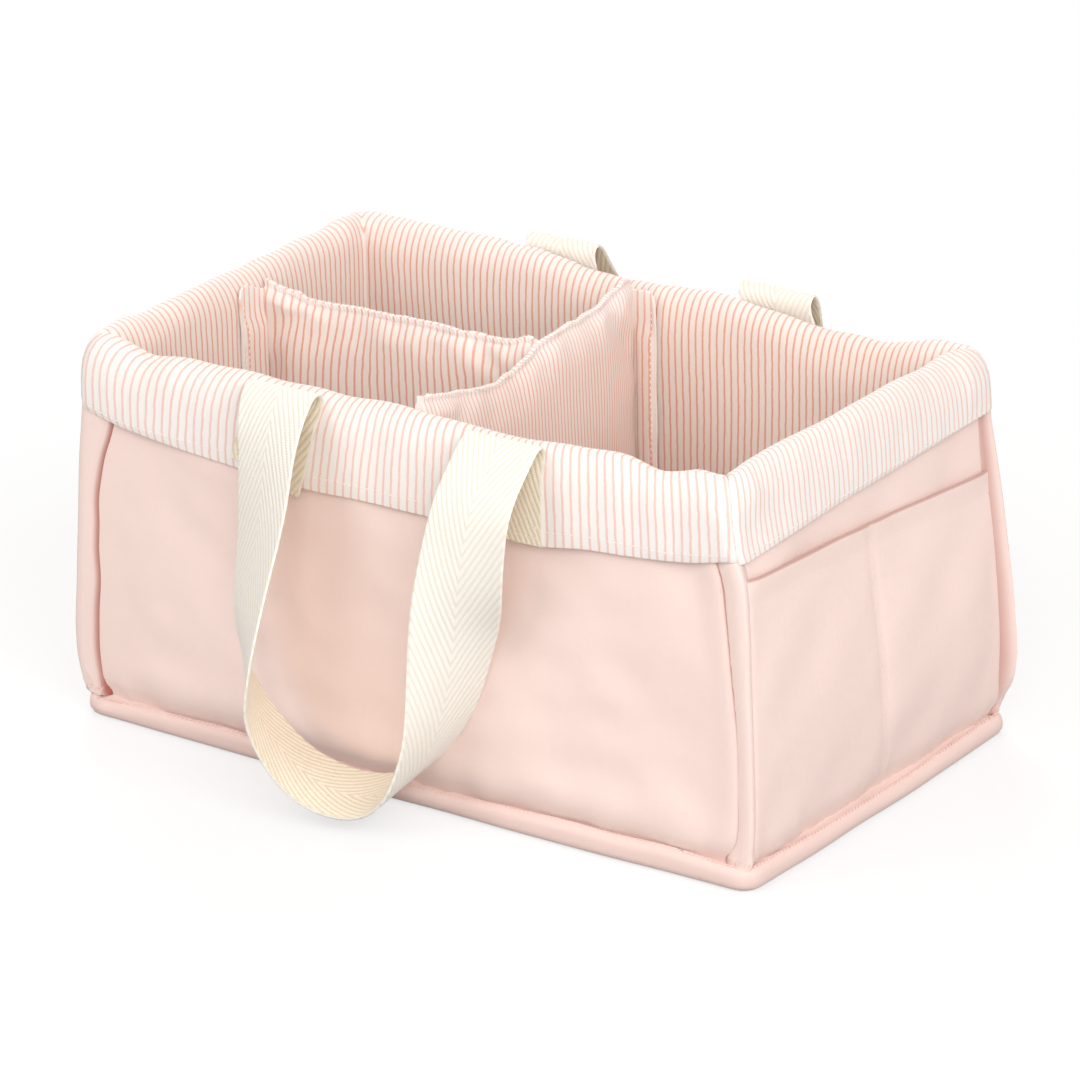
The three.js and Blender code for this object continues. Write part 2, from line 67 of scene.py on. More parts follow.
def placeCamera(setup):
    azimuth, elevation, roll = (math.radians(setup[k]) for k in ("azimuth", "elevation", "roll"))
    back = Vector((math.sin(azimuth) * math.cos(elevation), -math.cos(azimuth) * math.cos(elevation),
                   math.sin(elevation)))
    right = (-back).cross(Vector((0, 0, 1))).normalized()
    up = right.cross(-back)
    place = back * setup["distance"] + right * setup["right"] + up * setup["up"]
    rolledRight = right * math.cos(roll) + up * math.sin(roll)
    rolledUp = up * math.cos(roll) - right * math.sin(roll)
    data = bpy.data.cameras.new("photoCamera")
    data.lens, data.sensor_width = setup["lens"], setup["sensor"]
    data.clip_start, data.clip_end = 0.05, 50
    camera = bpy.data.objects.new("photoCamera", data)
    camera.matrix_world = Matrix((rolledRight, rolledUp, back)).transposed().to_4x4()
    camera.location = place
    scene.collection.objects.link(camera)
    scene.camera = camera


placeCamera(cameraSetup)
print("camera placed")


# Shader groups shared by the materials


def newGroup(name, inputs, outputs):
    group = bpy.data.node_groups.new(name, "ShaderNodeTree")
    for label, kind, value in inputs:
        socket = group.interface.new_socket(label, in_out="INPUT", socket_type=kind)
        if value is not None:
            socket.default_value = value
    for label, kind in outputs:
        group.interface.new_socket(label, in_out="OUTPUT", socket_type=kind)
    enter, leave = group.nodes.new("NodeGroupInput"), group.nodes.new("NodeGroupOutput")
    return group, enter, leave


def addMath(tree, operation, first, second=None, third=None, clamp=False):
    node = tree.nodes.new("ShaderNodeMath")
    node.operation, node.use_clamp = operation, clamp
    for place, value in enumerate((first, second, third)):
        if value is None:
            continue
        if isinstance(value, (int, float)):
            node.inputs[place].default_value = value
        else:
            tree.links.new(value, node.inputs[place])
    return node.outputs[0]


def addNoise(tree, vector, scale, detail=2, roughness=0.5):
    node = tree.nodes.new("ShaderNodeTexNoise")
    node.inputs["Detail"].default_value, node.inputs["Roughness"].default_value = detail, roughness
    tree.links.new(vector, node.inputs["Vector"])
    if isinstance(scale, (int, float)):
        node.inputs["Scale"].default_value = scale
    else:
        tree.links.new(scale, node.inputs["Scale"])
    return node.outputs["Fac"]


def addRange(tree, value, low, high):
    # 0 at low, 1 at high, smooth between them
    node = tree.nodes.new("ShaderNodeMapRange")
    node.interpolation_type = "SMOOTHSTEP"
    node.inputs["From Min"].default_value, node.inputs["From Max"].default_value = low, high
    tree.links.new(value, node.inputs["Value"])
    return node.outputs["Result"]


def stretchVector(tree, vector, scale):
    node = tree.nodes.new("ShaderNodeVectorMath")
    node.operation = "MULTIPLY"
    node.inputs[1].default_value = scale
    tree.links.new(vector, node.inputs[0])
    return node.outputs[0]


def splitVector(tree, vector):
    node = tree.nodes.new("ShaderNodeSeparateXYZ")
    tree.links.new(vector, node.inputs[0])
    return node.outputs


def makePlainWeave():
    # crossing threads: height of the cloth and a light-dark fleck from thread to thread
    group, enter, leave = newGroup(
        "plainWeave",
        [("Vector", "NodeSocketVector", None), ("Threads per Metre", "NodeSocketFloat", 1900),
         ("Unevenness", "NodeSocketFloat", 0.4)],
        [("Height", "NodeSocketFloat"), ("Fleck", "NodeSocketFloat")])
    along = splitVector(group, enter.outputs["Vector"])
    turns = addMath(group, "MULTIPLY", enter.outputs["Threads per Metre"], math.pi)
    warp = addMath(group, "SINE", addMath(group, "MULTIPLY", along[0], turns))
    weft = addMath(group, "SINE", addMath(group, "MULTIPLY", along[1], turns))
    crossing = addMath(group, "MULTIPLY_ADD", addMath(group, "MULTIPLY", warp, weft), 0.5, 0.5)
    slubX = addNoise(group, stretchVector(group, enter.outputs["Vector"], (1, 0.06, 1)), 900, 1)
    slubY = addNoise(group, stretchVector(group, enter.outputs["Vector"], (0.06, 1, 1)), 900, 1)
    slub = addMath(group, "ADD", slubX, slubY)
    uneven = addMath(group, "MULTIPLY", addMath(group, "SUBTRACT", slub, 1), enter.outputs["Unevenness"])
    group.links.new(addMath(group, "ADD", crossing, uneven), leave.inputs["Height"])
    group.links.new(addMath(group, "MULTIPLY_ADD", uneven, 1.2, 0.5, clamp=True), leave.inputs["Fleck"])
    return group


def makeMottle():
    # broad, soft unevenness of dye and handling
    group, enter, leave = newGroup(
        "clothMottle",
        [("Vector", "NodeSocketVector", None), ("Scale", "NodeSocketFloat", 12),
         ("Amount", "NodeSocketFloat", 0.5)],
        [("Mask", "NodeSocketFloat")])
    broad = addNoise(group, enter.outputs["Vector"], enter.outputs["Scale"], 3, 0.55)
    centred = addMath(group, "SUBTRACT", broad, 0.5)
    group.links.new(addMath(group, "MULTIPLY_ADD", centred, enter.outputs["Amount"], 0.5, clamp=True),
                    leave.inputs["Mask"])
    return group


def makeStripe():
    # thin printed lines across the first coordinate
    group, enter, leave = newGroup(
        "thinStripe",
        [("Vector", "NodeSocketVector", None), ("Pitch", "NodeSocketFloat", 0.004),
         ("Width", "NodeSocketFloat", 0.0012), ("Softness", "NodeSocketFloat", 0.00035)],
        [("Mask", "NodeSocketFloat")])
    along = splitVector(group, enter.outputs["Vector"])
    wobble = addNoise(group, enter.outputs["Vector"], 160, 2)
    shifted = addMath(group, "MULTIPLY_ADD", addMath(group, "SUBTRACT", wobble, 0.5), 0.0009, along[0])
    phase = addMath(group, "FRACT", addMath(group, "DIVIDE", shifted, enter.outputs["Pitch"]))
    away = addMath(group, "MULTIPLY", addMath(group, "ABSOLUTE", addMath(group, "SUBTRACT", phase, 0.5)),
                   enter.outputs["Pitch"])
    inside = addMath(group, "SUBTRACT", addMath(group, "MULTIPLY", enter.outputs["Width"], 0.5), away)
    edge = addMath(group, "MULTIPLY_ADD", addMath(group, "DIVIDE", inside, enter.outputs["Softness"]), 1, 0.5,
                   clamp=True)
    patches = addNoise(group, enter.outputs["Vector"], 700, 2)
    worn = addMath(group, "MULTIPLY_ADD", patches, 0.5, 0.7, clamp=True)
    group.links.new(addMath(group, "MULTIPLY", edge, worn), leave.inputs["Mask"])
    return group


yarnPitch = 0.0011       # of the webbing's weft


def makeHerringbone():
    # two fields of slanting ribs that meet along the middle of a strap, and its selvedges
    group, enter, leave = newGroup(
        "herringbone",
        [("Vector", "NodeSocketVector", None), ("Rib Pitch", "NodeSocketFloat", 0.0066),
         ("Slant", "NodeSocketFloat", 2.2)],
        [("Height", "NodeSocketFloat"), ("Valley", "NodeSocketFloat")])
    along = splitVector(group, enter.outputs["Vector"])
    away = addMath(group, "ABSOLUTE", along[0])
    slide = addMath(group, "SUBTRACT", along[1], addMath(group, "MULTIPLY", away, enter.outputs["Slant"]))
    wobble = addMath(group, "SUBTRACT", addNoise(group, enter.outputs["Vector"], 220, 2), 0.5)
    wavering = addMath(group, "MULTIPLY_ADD", wobble, 0.0012, slide)
    turn = addMath(group, "DIVIDE", wavering, enter.outputs["Rib Pitch"])
    rib = addMath(group, "ABSOLUTE", addMath(group, "SINE", addMath(group, "MULTIPLY", turn, math.pi)))
    yarn = addMath(group, "SINE", addMath(group, "MULTIPLY", along[1], 2 * math.pi / yarnPitch))
    height = addMath(group, "MULTIPLY_ADD", yarn, 0.14, rib)
    group.links.new(height, leave.inputs["Height"])
    valley = addMath(group, "SUBTRACT", 1, rib, clamp=True)
    group.links.new(addMath(group, "POWER", valley, 1.3), leave.inputs["Valley"])
    return group


plainWeave, clothMottle = makePlainWeave(), makeMottle()
thinStripe, herringbone = makeStripe(), makeHerringbone()
print("shader groups made")


# Materials


def newMaterial(name, roughness, sheen=0.0, sheenRoughness=0.5):
    material = bpy.data.materials.new(name)
    material.use_nodes = True
    tree = material.node_tree
    shader = tree.nodes["Principled BSDF"]
    shader.inputs["Roughness"].default_value = roughness
    shader.inputs["Specular IOR Level"].default_value = 0.25
    shader.inputs["Sheen Weight"].default_value = sheen
    shader.inputs["Sheen Roughness"].default_value = sheenRoughness
    return material, tree, shader


def fromScreen(red, green, blue):
    # a colour as seen on screen, 0 to 255, as the shader wants it
    colour = [((c / 255 + 0.055) / 1.055) ** 2.4 if c > 10 else c / 255 / 12.92 for c in (red, green, blue)]
    return colour + [1]


def clothVector(tree):
    node = tree.nodes.new("ShaderNodeUVMap")
    node.uv_map = "cloth"
    return node.outputs["UV"]


def placeGroup(tree, group, vector, **values):
    node = tree.nodes.new("ShaderNodeGroup")
    node.node_tree = group
    tree.links.new(vector, node.inputs["Vector"])
    for label, value in values.items():
        node.inputs[label.replace("_", " ")].default_value = value
    return node.outputs


def mixColours(tree, factor, first, second):
    node = tree.nodes.new("ShaderNodeMix")
    node.data_type = "RGBA"
    tree.links.new(factor, node.inputs["Factor"])
    for place, value in ((6, first), (7, second)):
        if isinstance(value, list):
            node.inputs[place].default_value = value
        else:
            tree.links.new(value, node.inputs[place])
    return node.outputs[2]


def addBump(tree, shader, height, strength, distance, under=None):
    node = tree.nodes.new("ShaderNodeBump")
    node.inputs["Strength"].default_value, node.inputs["Distance"].default_value = strength, distance
    tree.links.new(height, node.inputs["Height"])
    if under is not None:
        tree.links.new(under, node.inputs["Normal"])
    tree.links.new(node.outputs[0], shader.inputs["Normal"])
    return node.outputs[0]


pinkLook = {
    "light": fromScreen(247, 224, 216),
    "dark": fromScreen(241, 214, 205),
    "threads": 1700,
    "creaseScale": 34,
}


paintedSlitShade = fromScreen(168, 94, 80)    # painted shade deep in a seam, where the cloth shades itself
# a darker copy of the pink for the base cover: painted shade low down, under the bulging walls
shadedBaseTones = {"light": fromScreen(241, 214, 206), "dark": fromScreen(232, 202, 193)}


def makePinkCotton(name, look):
    material, tree, shader = newMaterial(name, 0.82, 0.25, 0.45)
    vector = clothVector(tree)
    weave = placeGroup(tree, plainWeave, vector, Threads_per_Metre=look["threads"], Unevenness=0.5)
    broad = placeGroup(tree, clothMottle, vector, Scale=9, Amount=0.9)
    tone = addMath(tree, "MULTIPLY_ADD", weave["Fleck"], 0.45, addMath(tree, "MULTIPLY", broad["Mask"], 0.55))
    # painted shade: where the shade attribute is set, the colour darkens toward the seam shade
    shadeAttribute = tree.nodes.new("ShaderNodeAttribute")
    shadeAttribute.attribute_name = "shade"
    cloth = mixColours(tree, tone, look["dark"], look["light"])
    tree.links.new(mixColours(tree, shadeAttribute.outputs["Fac"], cloth, paintedSlitShade), shader.inputs["Base Color"])
    crease = addNoise(tree, stretchVector(tree, vector, (1, 0.55, 1)), look["creaseScale"], 3, 0.5)
    soft = addBump(tree, shader, crease, 0.35, 0.0012)
    addBump(tree, shader, weave["Height"], 0.35, 0.00012, soft)
    return material


stripeLook = {
    "ground": fromScreen(248, 241, 237),
    "groundDark": fromScreen(241, 232, 227),
    "line": fromScreen(238, 188, 172),
    "bounceGround": fromScreen(238, 226, 218),      # low inside: painted warm bounce light, as from the pink all round it
    "bounceDark": fromScreen(231, 216, 206),
    "bounceLine": fromScreen(224, 162, 141),
    "paintedBounceFrom": 0.195,       # height up the cloth where the painted warm bounce light inside begins
    "paintedBounceTo": 0.17,
    "paintedHighlightFrom": 0.184,       # past the rim, on the cuff, the lines are fainter: a painted highlight
    "paintedHighlightTo": 0.2,
    "paintedHighlight": 0.22,
    "pitch": 0.004,
    "width": 0.00105,
    "threads": 2000,
}


def makeStripedCotton(look):
    material, tree, shader = newMaterial("stripedCotton", 0.86, 0.2, 0.45)
    vector = clothVector(tree)
    weave = placeGroup(tree, plainWeave, vector, Threads_per_Metre=look["threads"], Unevenness=0.4)
    broad = placeGroup(tree, clothMottle, vector, Scale=14, Amount=0.8)
    lines = placeGroup(tree, thinStripe, vector, Pitch=look["pitch"], Width=look["width"])
    tone = addMath(tree, "MULTIPLY_ADD", weave["Fleck"], 0.4, addMath(tree, "MULTIPLY", broad["Mask"], 0.6))
    up = splitVector(tree, vector)[1]
    # painted warm bounce light low inside the caddy
    paintedBounce = addRange(tree, up, look["paintedBounceFrom"], look["paintedBounceTo"])
    # painted highlight: the lines grow fainter up on the cuff, where the light falls
    past = addRange(tree, up, look["paintedHighlightFrom"], look["paintedHighlightTo"])
    highlightFaded = addMath(tree, "MULTIPLY_ADD", past, -look["paintedHighlight"], 1)
    ground = mixColours(tree, tone, mixColours(tree, paintedBounce, look["groundDark"], look["bounceDark"]),
                        mixColours(tree, paintedBounce, look["ground"], look["bounceGround"]))
    line = mixColours(tree, paintedBounce, look["line"], look["bounceLine"])
    mask = addMath(tree, "MULTIPLY", lines["Mask"], highlightFaded)
    tree.links.new(mixColours(tree, mask, ground, line), shader.inputs["Base Color"])
    crease = addNoise(tree, stretchVector(tree, vector, (1, 0.4, 1)), 60, 3, 0.5)
    soft = addBump(tree, shader, crease, 0.3, 0.0008)
    addBump(tree, shader, weave["Height"], 0.3, 0.0001, soft)
    return material


webbingLook = {
    "rib": fromScreen(249, 245, 238),
    "valley": fromScreen(237, 225, 204),
    "shade": fromScreen(244, 239, 230),
    # the inner side's darker, warmer copies of the colours are painted shade
    "shadedBackRib": fromScreen(245, 236, 218),
    "shadedBackValley": fromScreen(224, 204, 170),
    "ribPitch": 0.0066,
    "backFrom": 9.9,         # the strap's inner side is laid out this far on, a whole number of ribs
}


def makeWebbing(look):
    material, tree, shader = newMaterial("creamWebbing", 0.8, 0.3, 0.4)
    vector = clothVector(tree)
    ribs = placeGroup(tree, herringbone, vector, Rib_Pitch=look["ribPitch"])
    broad = placeGroup(tree, clothMottle, vector, Scale=30, Amount=0.9)
    fibre = addNoise(tree, stretchVector(tree, vector, (1, 0.2, 1)), 2600, 2)
    rib = mixColours(tree, broad["Mask"], look["shade"], look["rib"])
    depth = addMath(tree, "MULTIPLY_ADD", fibre, 0.8, 0.45)
    deep = addMath(tree, "MULTIPLY", ribs["Valley"], depth, clamp=True)
    # painted shade: the strap's inner side takes the darker, warmer colours
    back = addMath(tree, "GREATER_THAN", splitVector(tree, vector)[1], look["backFrom"] / 2)
    rib = mixColours(tree, back, rib, look["shadedBackRib"])
    valley = mixColours(tree, back, look["valley"], look["shadedBackValley"])
    tree.links.new(mixColours(tree, deep, rib, valley), shader.inputs["Base Color"])
    height = addMath(tree, "MULTIPLY_ADD", fibre, 0.35, ribs["Height"])
    addBump(tree, shader, height, 0.45, 0.0006)
    return material


speckledLooks = {
    # roughness, sheen, the speckle's scale, detail and roughness, its two colours, bump strength and depth
    "greyBoard": (0.9, 0.0, 420, 4, 0.7, (150, 138, 120), (196, 184, 164), 0.4, 0.0003),
    "whiteWadding": (1.0, 0.5, 260, 5, 0.7, (226, 224, 220), (250, 249, 247), 0.8, 0.0015),
    "whiteThread": (0.6, 0.2, 1800, 2, 0.5, (240, 226, 218), (254, 249, 244), 0.5, 0.0001),
    "pinkThread": (0.6, 0.2, 1800, 2, 0.5, (232, 194, 184), (246, 219, 211), 0.5, 0.0001),
    "creamThread": (0.6, 0.2, 1800, 2, 0.5, (220, 204, 176), (250, 244, 228), 0.5, 0.0001),
}


def makeSpeckled(name):
    roughness, sheen, scale, detail, noiseRoughness, dark, light, strength, depth = speckledLooks[name]
    material, tree, shader = newMaterial(name, roughness, sheen)
    coordinates = tree.nodes.new("ShaderNodeTexCoord").outputs["Object"]
    speckle = addNoise(tree, coordinates, scale, detail, noiseRoughness)
    colour = mixColours(tree, speckle, fromScreen(*dark), fromScreen(*light))
    tree.links.new(colour, shader.inputs["Base Color"])
    addBump(tree, shader, speckle, strength, depth)
    return material


def makeFastening():
    material, tree, shader = newMaterial("hookAndLoopTape", 0.85, 0.6)
    coordinates = tree.nodes.new("ShaderNodeTexCoord").outputs["Object"]
    voronoi = tree.nodes.new("ShaderNodeTexVoronoi")
    voronoi.inputs["Scale"].default_value = 900
    tree.links.new(coordinates, voronoi.inputs["Vector"])
    pile = voronoi.outputs["Distance"]
    tree.links.new(mixColours(tree, pile, fromScreen(250, 244, 238), fromScreen(222, 212, 202)),
                   shader.inputs["Base Color"])
    addBump(tree, shader, pile, 0.9, 0.0006)
    return material


pinkCotton, stripedCotton = makePinkCotton("pinkCotton", pinkLook), makeStripedCotton(stripeLook)
shadedBasePink = makePinkCotton("shadedBasePinkCotton", {**pinkLook, **shadedBaseTones})
creamWebbing = makeWebbing(webbingLook)
fasteningTape = makeFastening()
greyBoard, whiteWadding, whiteThread, pinkThread, creamThread = (makeSpeckled(name) for name in speckledLooks)
print("materials made")


# Curves, ripples and meshes


def smoothCurve(knots, at):
    # a smooth line through a few knots
    x, y = np.array(knots, float).T
    slope = np.gradient(y, x)
    at = np.clip(at, x[0], x[-1])
    i = np.clip(np.searchsorted(x, at) - 1, 0, len(x) - 2)
    span = x[i + 1] - x[i]
    t = (at - x[i]) / span
    start = y[i] * (1 + 2 * t) * (1 - t) ** 2 + slope[i] * span * t * (1 - t) ** 2
    return start + y[i + 1] * t * t * (3 - 2 * t) + slope[i + 1] * span * t * t * (t - 1)


def smoothStep(low, high, at):
    t = np.clip((at - low) / (high - low), 0, 1)
    return t * t * (3 - 2 * t)


def bell(at, width):
    return np.exp(-(at / width) ** 2)


def ripple(u, v, wavelength, seed, waves=7, stretch=1.0):
    # soft waviness, mostly between -1 and 1; stretch above 1 draws it out along v
    random = np.random.default_rng(seed)
    total = 0
    for _ in range(waves):
        angle, phase = random.uniform(0, math.pi), random.uniform(0, 2 * math.pi)
        k = 2 * math.pi / (wavelength * random.uniform(0.7, 1.5))
        total = total + np.sin(k * (u * math.cos(angle) + v * math.sin(angle) / stretch) + phase)
    return total * math.sqrt(2 / waves) * 0.7


def gridNormals(points):
    across, down = np.gradient(points, axis=0), np.gradient(points, axis=1)
    normal = np.cross(across, down)
    return normal / np.maximum(np.linalg.norm(normal, axis=2, keepdims=True), 1e-9)


def gridFaces(index, closed=False):
    a, b = index, np.roll(index, -1, axis=0)
    if not closed:
        a, b = index[:-1], index[1:]
    quads = np.stack([a[:, :-1], b[:, :-1], b[:, 1:], a[:, 1:]], axis=2)
    return quads.reshape(-1, 4)


def addObject(name, points, faces, material, coordinates=None, sharp=62):
    mesh = bpy.data.meshes.new(name)
    faces = [list(face) for face in faces]
    a, b, c = (points[[face[i] for face in faces]] for i in (0, 1, 2))
    d = points[[face[3 if len(face) > 3 else 2] for face in faces]]
    volume = (a * np.cross(b, c)).sum() + (a * np.cross(c, d)).sum()
    if volume < 0:
        faces = [face[::-1] for face in faces]
    mesh.from_pydata((points * mm).tolist(), [], faces)
    if coordinates is not None:
        layer = mesh.uv_layers.new(name="cloth")
        corner = np.zeros(len(mesh.loops), np.int32)
        mesh.loops.foreach_get("vertex_index", corner)
        layer.data.foreach_set("uv", (coordinates[corner] * mm).astype(np.float32).ravel())
    mesh.shade_smooth()
    mesh.set_sharp_from_angle(angle=math.radians(sharp))
    mesh.materials.append(material)
    thing = bpy.data.objects.new(name, mesh)
    scene.collection.objects.link(thing)
    return thing


def borderOf(index):
    return np.concatenate([index[0, :], index[1:, -1], index[-1, -2::-1], index[-2:0:-1, 0]])


def clothSheet(name, face, back, u, v, material, roll=0.5, sharp=62, backShift=0, shade=None):
    # a sheet with two sides and rolled edges; u and v are its own flat coordinates, and shade, if given, is
    # painted shade for its seams
    columns, rows = face.shape[:2]
    index = np.arange(columns * rows).reshape(columns, rows)
    border = borderOf(index)
    i, j = np.unravel_index(border, (columns, rows))
    inner = index[np.clip(i, 1, columns - 2), np.clip(j, 1, rows - 2)]
    flatFace, flatBack = face.reshape(-1, 3), back.reshape(-1, 3)
    outward = flatFace[border] - flatFace[inner]
    outward /= np.maximum(np.linalg.norm(outward, axis=1, keepdims=True), 1e-9)
    thickness = np.linalg.norm(flatFace[border] - flatBack[border], axis=1, keepdims=True)
    middle = (flatFace[border] + flatBack[border]) / 2 + outward * thickness * roll
    count, points = len(flatFace), np.concatenate([flatFace, flatBack, middle])
    ring = np.arange(len(border))
    after = np.roll(ring, -1)
    faces = np.concatenate([
        gridFaces(index),
        gridFaces(index)[:, ::-1] + count,
        np.stack([border[ring], 2 * count + ring, 2 * count + after, border[after]], axis=1),
        np.stack([2 * count + ring, border[ring] + count, border[after] + count, 2 * count + after], axis=1),
    ])
    flat = np.stack([u.ravel(), v.ravel()], axis=1)
    layout = np.concatenate([flat, flat + np.array([0, backShift]), flat[border]])
    thing = addObject(name, points, faces.tolist(), material, layout, sharp)
    # painted shade, one value for each point
    if shade is not None:
        flatShade = (shade + 0 * u).ravel()
        layer = thing.data.attributes.new("shade", "FLOAT", "POINT")
        values = np.concatenate([flatShade, flatShade, flatShade[border]])
        layer.data.foreach_set("value", values.astype(np.float32))
    return thing


def settle(thing, body, slotName, *nodes):
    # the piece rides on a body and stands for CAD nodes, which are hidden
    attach(thing, body)
    if nodes:
        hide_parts(*nodes)
    return thing


def stitchRow(name, places, normals, material, body, length=2.3, width=0.55, skew=0.0, pitch=3.2,
              lift=0.1):
    # thread lying along a line of points: one small lozenge for each stitch
    places, normals = np.asarray(places, float), np.asarray(normals, float)
    along = np.concatenate([[0], np.cumsum(np.linalg.norm(np.diff(places, axis=0), axis=1))])
    at = np.arange(pitch, along[-1] - pitch / 2, pitch)
    centre = np.stack([np.interp(at, along, places[:, k]) for k in range(3)], axis=1)
    ahead = np.stack([np.interp(at + 0.5, along, places[:, k]) for k in range(3)], axis=1) - centre
    normal = np.stack([np.interp(at, along, normals[:, k]) for k in range(3)], axis=1)
    ahead /= np.linalg.norm(ahead, axis=1, keepdims=True)
    normal /= np.linalg.norm(normal, axis=1, keepdims=True)
    side = np.cross(normal, ahead)
    turned = ahead * math.cos(skew) + side * math.sin(skew)
    side = np.cross(normal, turned)
    rings = [(-0.5, 0.15, -0.35), (-0.3, 0.85, 0.05), (0, 1, 0.25), (0.3, 0.85, 0.05), (0.5, 0.15, -0.35)]
    sides = 6
    points, faces = [], []
    for k in range(len(at)):
        base = len(points)
        for run, full, rise in rings:
            for step in range(sides):
                turn = 2 * math.pi * step / sides
                off = turned[k] * run * length + side[k] * math.cos(turn) * width / 2 * full
                off = off + normal[k] * (lift + rise * width + math.sin(turn) * width / 2 * full)
                points.append(centre[k] + off)
        for ring in range(len(rings) - 1):
            for step in range(sides):
                nextStep = (step + 1) % sides
                a, b = base + ring * sides, base + (ring + 1) * sides
                faces.append([a + step, b + step, b + nextStep, a + nextStep])
        faces.append([base + step for step in range(sides)])
        faces.append([base + (len(rings) - 1) * sides + step for step in range(sides)][::-1])
    thing = addObject(name, np.array(points), faces, material)
    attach(thing, body)
    return thing


# Where the walls stand

caddy = {
    "halfLength": 186,      # to the outer panels
    "halfWidth": 108,
    "cornerRadius": 8,
    "tightRadius": 1.2,
    "outerRadius": 7,
    "innerDepth": 14.9,     # lining's face inside, in from the outer panel
    "cuffDepth": -4.6,      # lining's face on the cuff
    "crestDepth": 5.0,
}

wallSides = {
    "front": {
        "along": (1, 0), "out": (0, -1), "halfRun": caddy["halfLength"],
        "halfGap": caddy["halfWidth"], "left": "left", "right": "right",
        "stand": [(11, 5), (22, 6), (45, 5.8), (80, 5), (130, 3), (165, 1), (205, 0)], "bellied": True,
        "inner": [(11, 0), (205, 0)],
        "crest": [(-1, 197), (-0.86, 191.5), (-0.7, 193.5), (-0.3, 193.8), (0.2, 193), (0.42, 193.3),
                  (0.55, 195), (0.7, 195.6), (0.83, 194.2), (0.93, 196.5), (1, 197)],
        "hem": [(-1, 159), (-0.93, 156), (-0.8, 153), (-0.67, 151), (-0.49, 149), (-0.3, 147), (-0.1, 148),
                (0.1, 148), (0.45, 147), (0.55, 150), (0.72, 152.5), (0.89, 156), (1, 160)],
        "lean": [(-1, 0), (-0.93, -1), (-0.85, 0), (-0.7, 3), (-0.5, 4), (-0.3, 7), (-0.15, 6), (-0.05, 3),
                 (0.1, 1), (0.3, 2), (0.45, 0), (1, 0)],
        "wide": 1.15,
    },
    "right": {
        "along": (0, 1), "out": (1, 0), "halfRun": caddy["halfWidth"],
        "halfGap": caddy["halfLength"], "left": "front", "right": "back",
        "stand": [(11, 4), (28, 7), (42, 7.8), (70, 6.5), (100, 3.5), (130, 0), (165, -3.3), (205, -4.5)],
        "firstStand": [(11, 4), (28, 6), (42, 6.3), (70, 6), (100, 5), (130, 4), (150, 2.2), (165, -2.5),
                       (205, -4.5)],
        "bellied": False,
        "inner": [(11, 0), (120, -0.5), (160, -2.5), (205, -4.5)],
        "crest": [(-1, 197), (-0.8, 197.5), (-0.3, 198.3), (0.3, 198.3), (0.8, 197), (1, 196)],
        "hem": [(-1, 159), (-0.2, 161), (0.5, 162.5), (1, 164)],
    },
    "back": {
        "along": (-1, 0), "out": (0, 1), "halfRun": caddy["halfLength"],
        "halfGap": caddy["halfWidth"], "left": "right", "right": "left",
        "stand": [(11, 5), (22, 6), (45, 5.8), (80, 5), (130, 3), (165, 1), (205, 0)], "bellied": True,
        "inner": [(11, 0), (205, 0)],
        "crest": [(-1, 196), (-0.9, 194.5), (-0.72, 188), (-0.6, 189), (-0.42, 192), (-0.2, 195.5),
                  (0, 193.5), (0.12, 193), (0.3, 196), (0.52, 199.5), (0.75, 199.8), (1, 199)],
        "hem": [(-1, 164), (-0.5, 153), (0, 151), (0.5, 154), (1, 161)],
    },
    "left": {
        "along": (0, -1), "out": (-1, 0), "halfRun": caddy["halfWidth"],
        "halfGap": caddy["halfLength"], "left": "back", "right": "front",
        "stand": [(11, 5), (26, 8), (45, 8.5), (70, 6.5), (100, 3.8), (130, 2), (160, 0.5), (205, -0.5)],
        "bellied": False,
        "inner": [(11, 0), (170, 0), (205, -0.5)],
        "crest": [(-1, 199), (-0.5, 198), (0.3, 197.5), (1, 197)],
        "hem": [(-1, 161), (0, 161), (1, 160)],
    },
}


def wallShift(side, run, depth, height):
    # how far the wall stands out of its plane at a height; its inner face leans less
    outer = smoothCurve(side["stand"], height)
    if "firstStand" in side:
        outer = outer + (smoothCurve(side["firstStand"], height) - outer) * (1 - smoothStep(-1, 0, run))
    if side["bellied"]:
        outer = outer * (1 - np.abs(run) ** 4)
    inner = smoothCurve(side["inner"], height)
    share = smoothStep(caddy["cuffDepth"], caddy["innerDepth"], depth)
    return outer * (1 - share) + inner * share


def wallPlace(side, run, turn, depth, height):
    given = (np.asarray(value, float) for value in (run, turn, depth, height))
    run, turn, depth, height = np.broadcast_arrays(*given)
    radius = np.clip(caddy["cornerRadius"] - depth, caddy["tightRadius"], caddy["outerRadius"])
    ends = [wallShift(wallSides[side[end]], way, depth, height) for end, way in (("left", 1), ("right", -1))]
    reach = side["halfRun"] + np.where(run < 0, ends[0], ends[1]) - depth - radius
    along = run * reach + np.sin(turn) * radius
    out = side["halfGap"] + wallShift(side, run, depth, height) - depth - radius * (1 - np.cos(turn))
    x = side["along"][0] * along + side["out"][0] * out
    y = side["along"][1] * along + side["out"][1] * out
    return np.stack([x, y, height], axis=-1), run * reach + turn * radius


def wallColumns(side, step=4.0, fine=1.6, fineReach=16, turns=5):
    # runs and corner turns from one mitre to the other, closer together near the corners
    straight = side["halfRun"] - caddy["cornerRadius"]
    coarse = np.linspace(0, straight - fineReach, max(2, round((straight - fineReach) / step)))
    close = np.linspace(straight - fineReach, straight, round(fineReach / fine) + 1)[1:]
    half = np.concatenate([coarse, close]) / straight
    corner = np.linspace(0, math.pi / 4, turns + 1)[1:]
    run = np.concatenate([-np.ones(turns), -half[::-1], half[1:], np.ones(turns)])
    turn = np.concatenate([-corner[::-1], np.zeros(2 * len(half) - 1), corner])
    return run, turn


# Lining and cuff: up the inside of each wall, over the padded rim and down to the hem

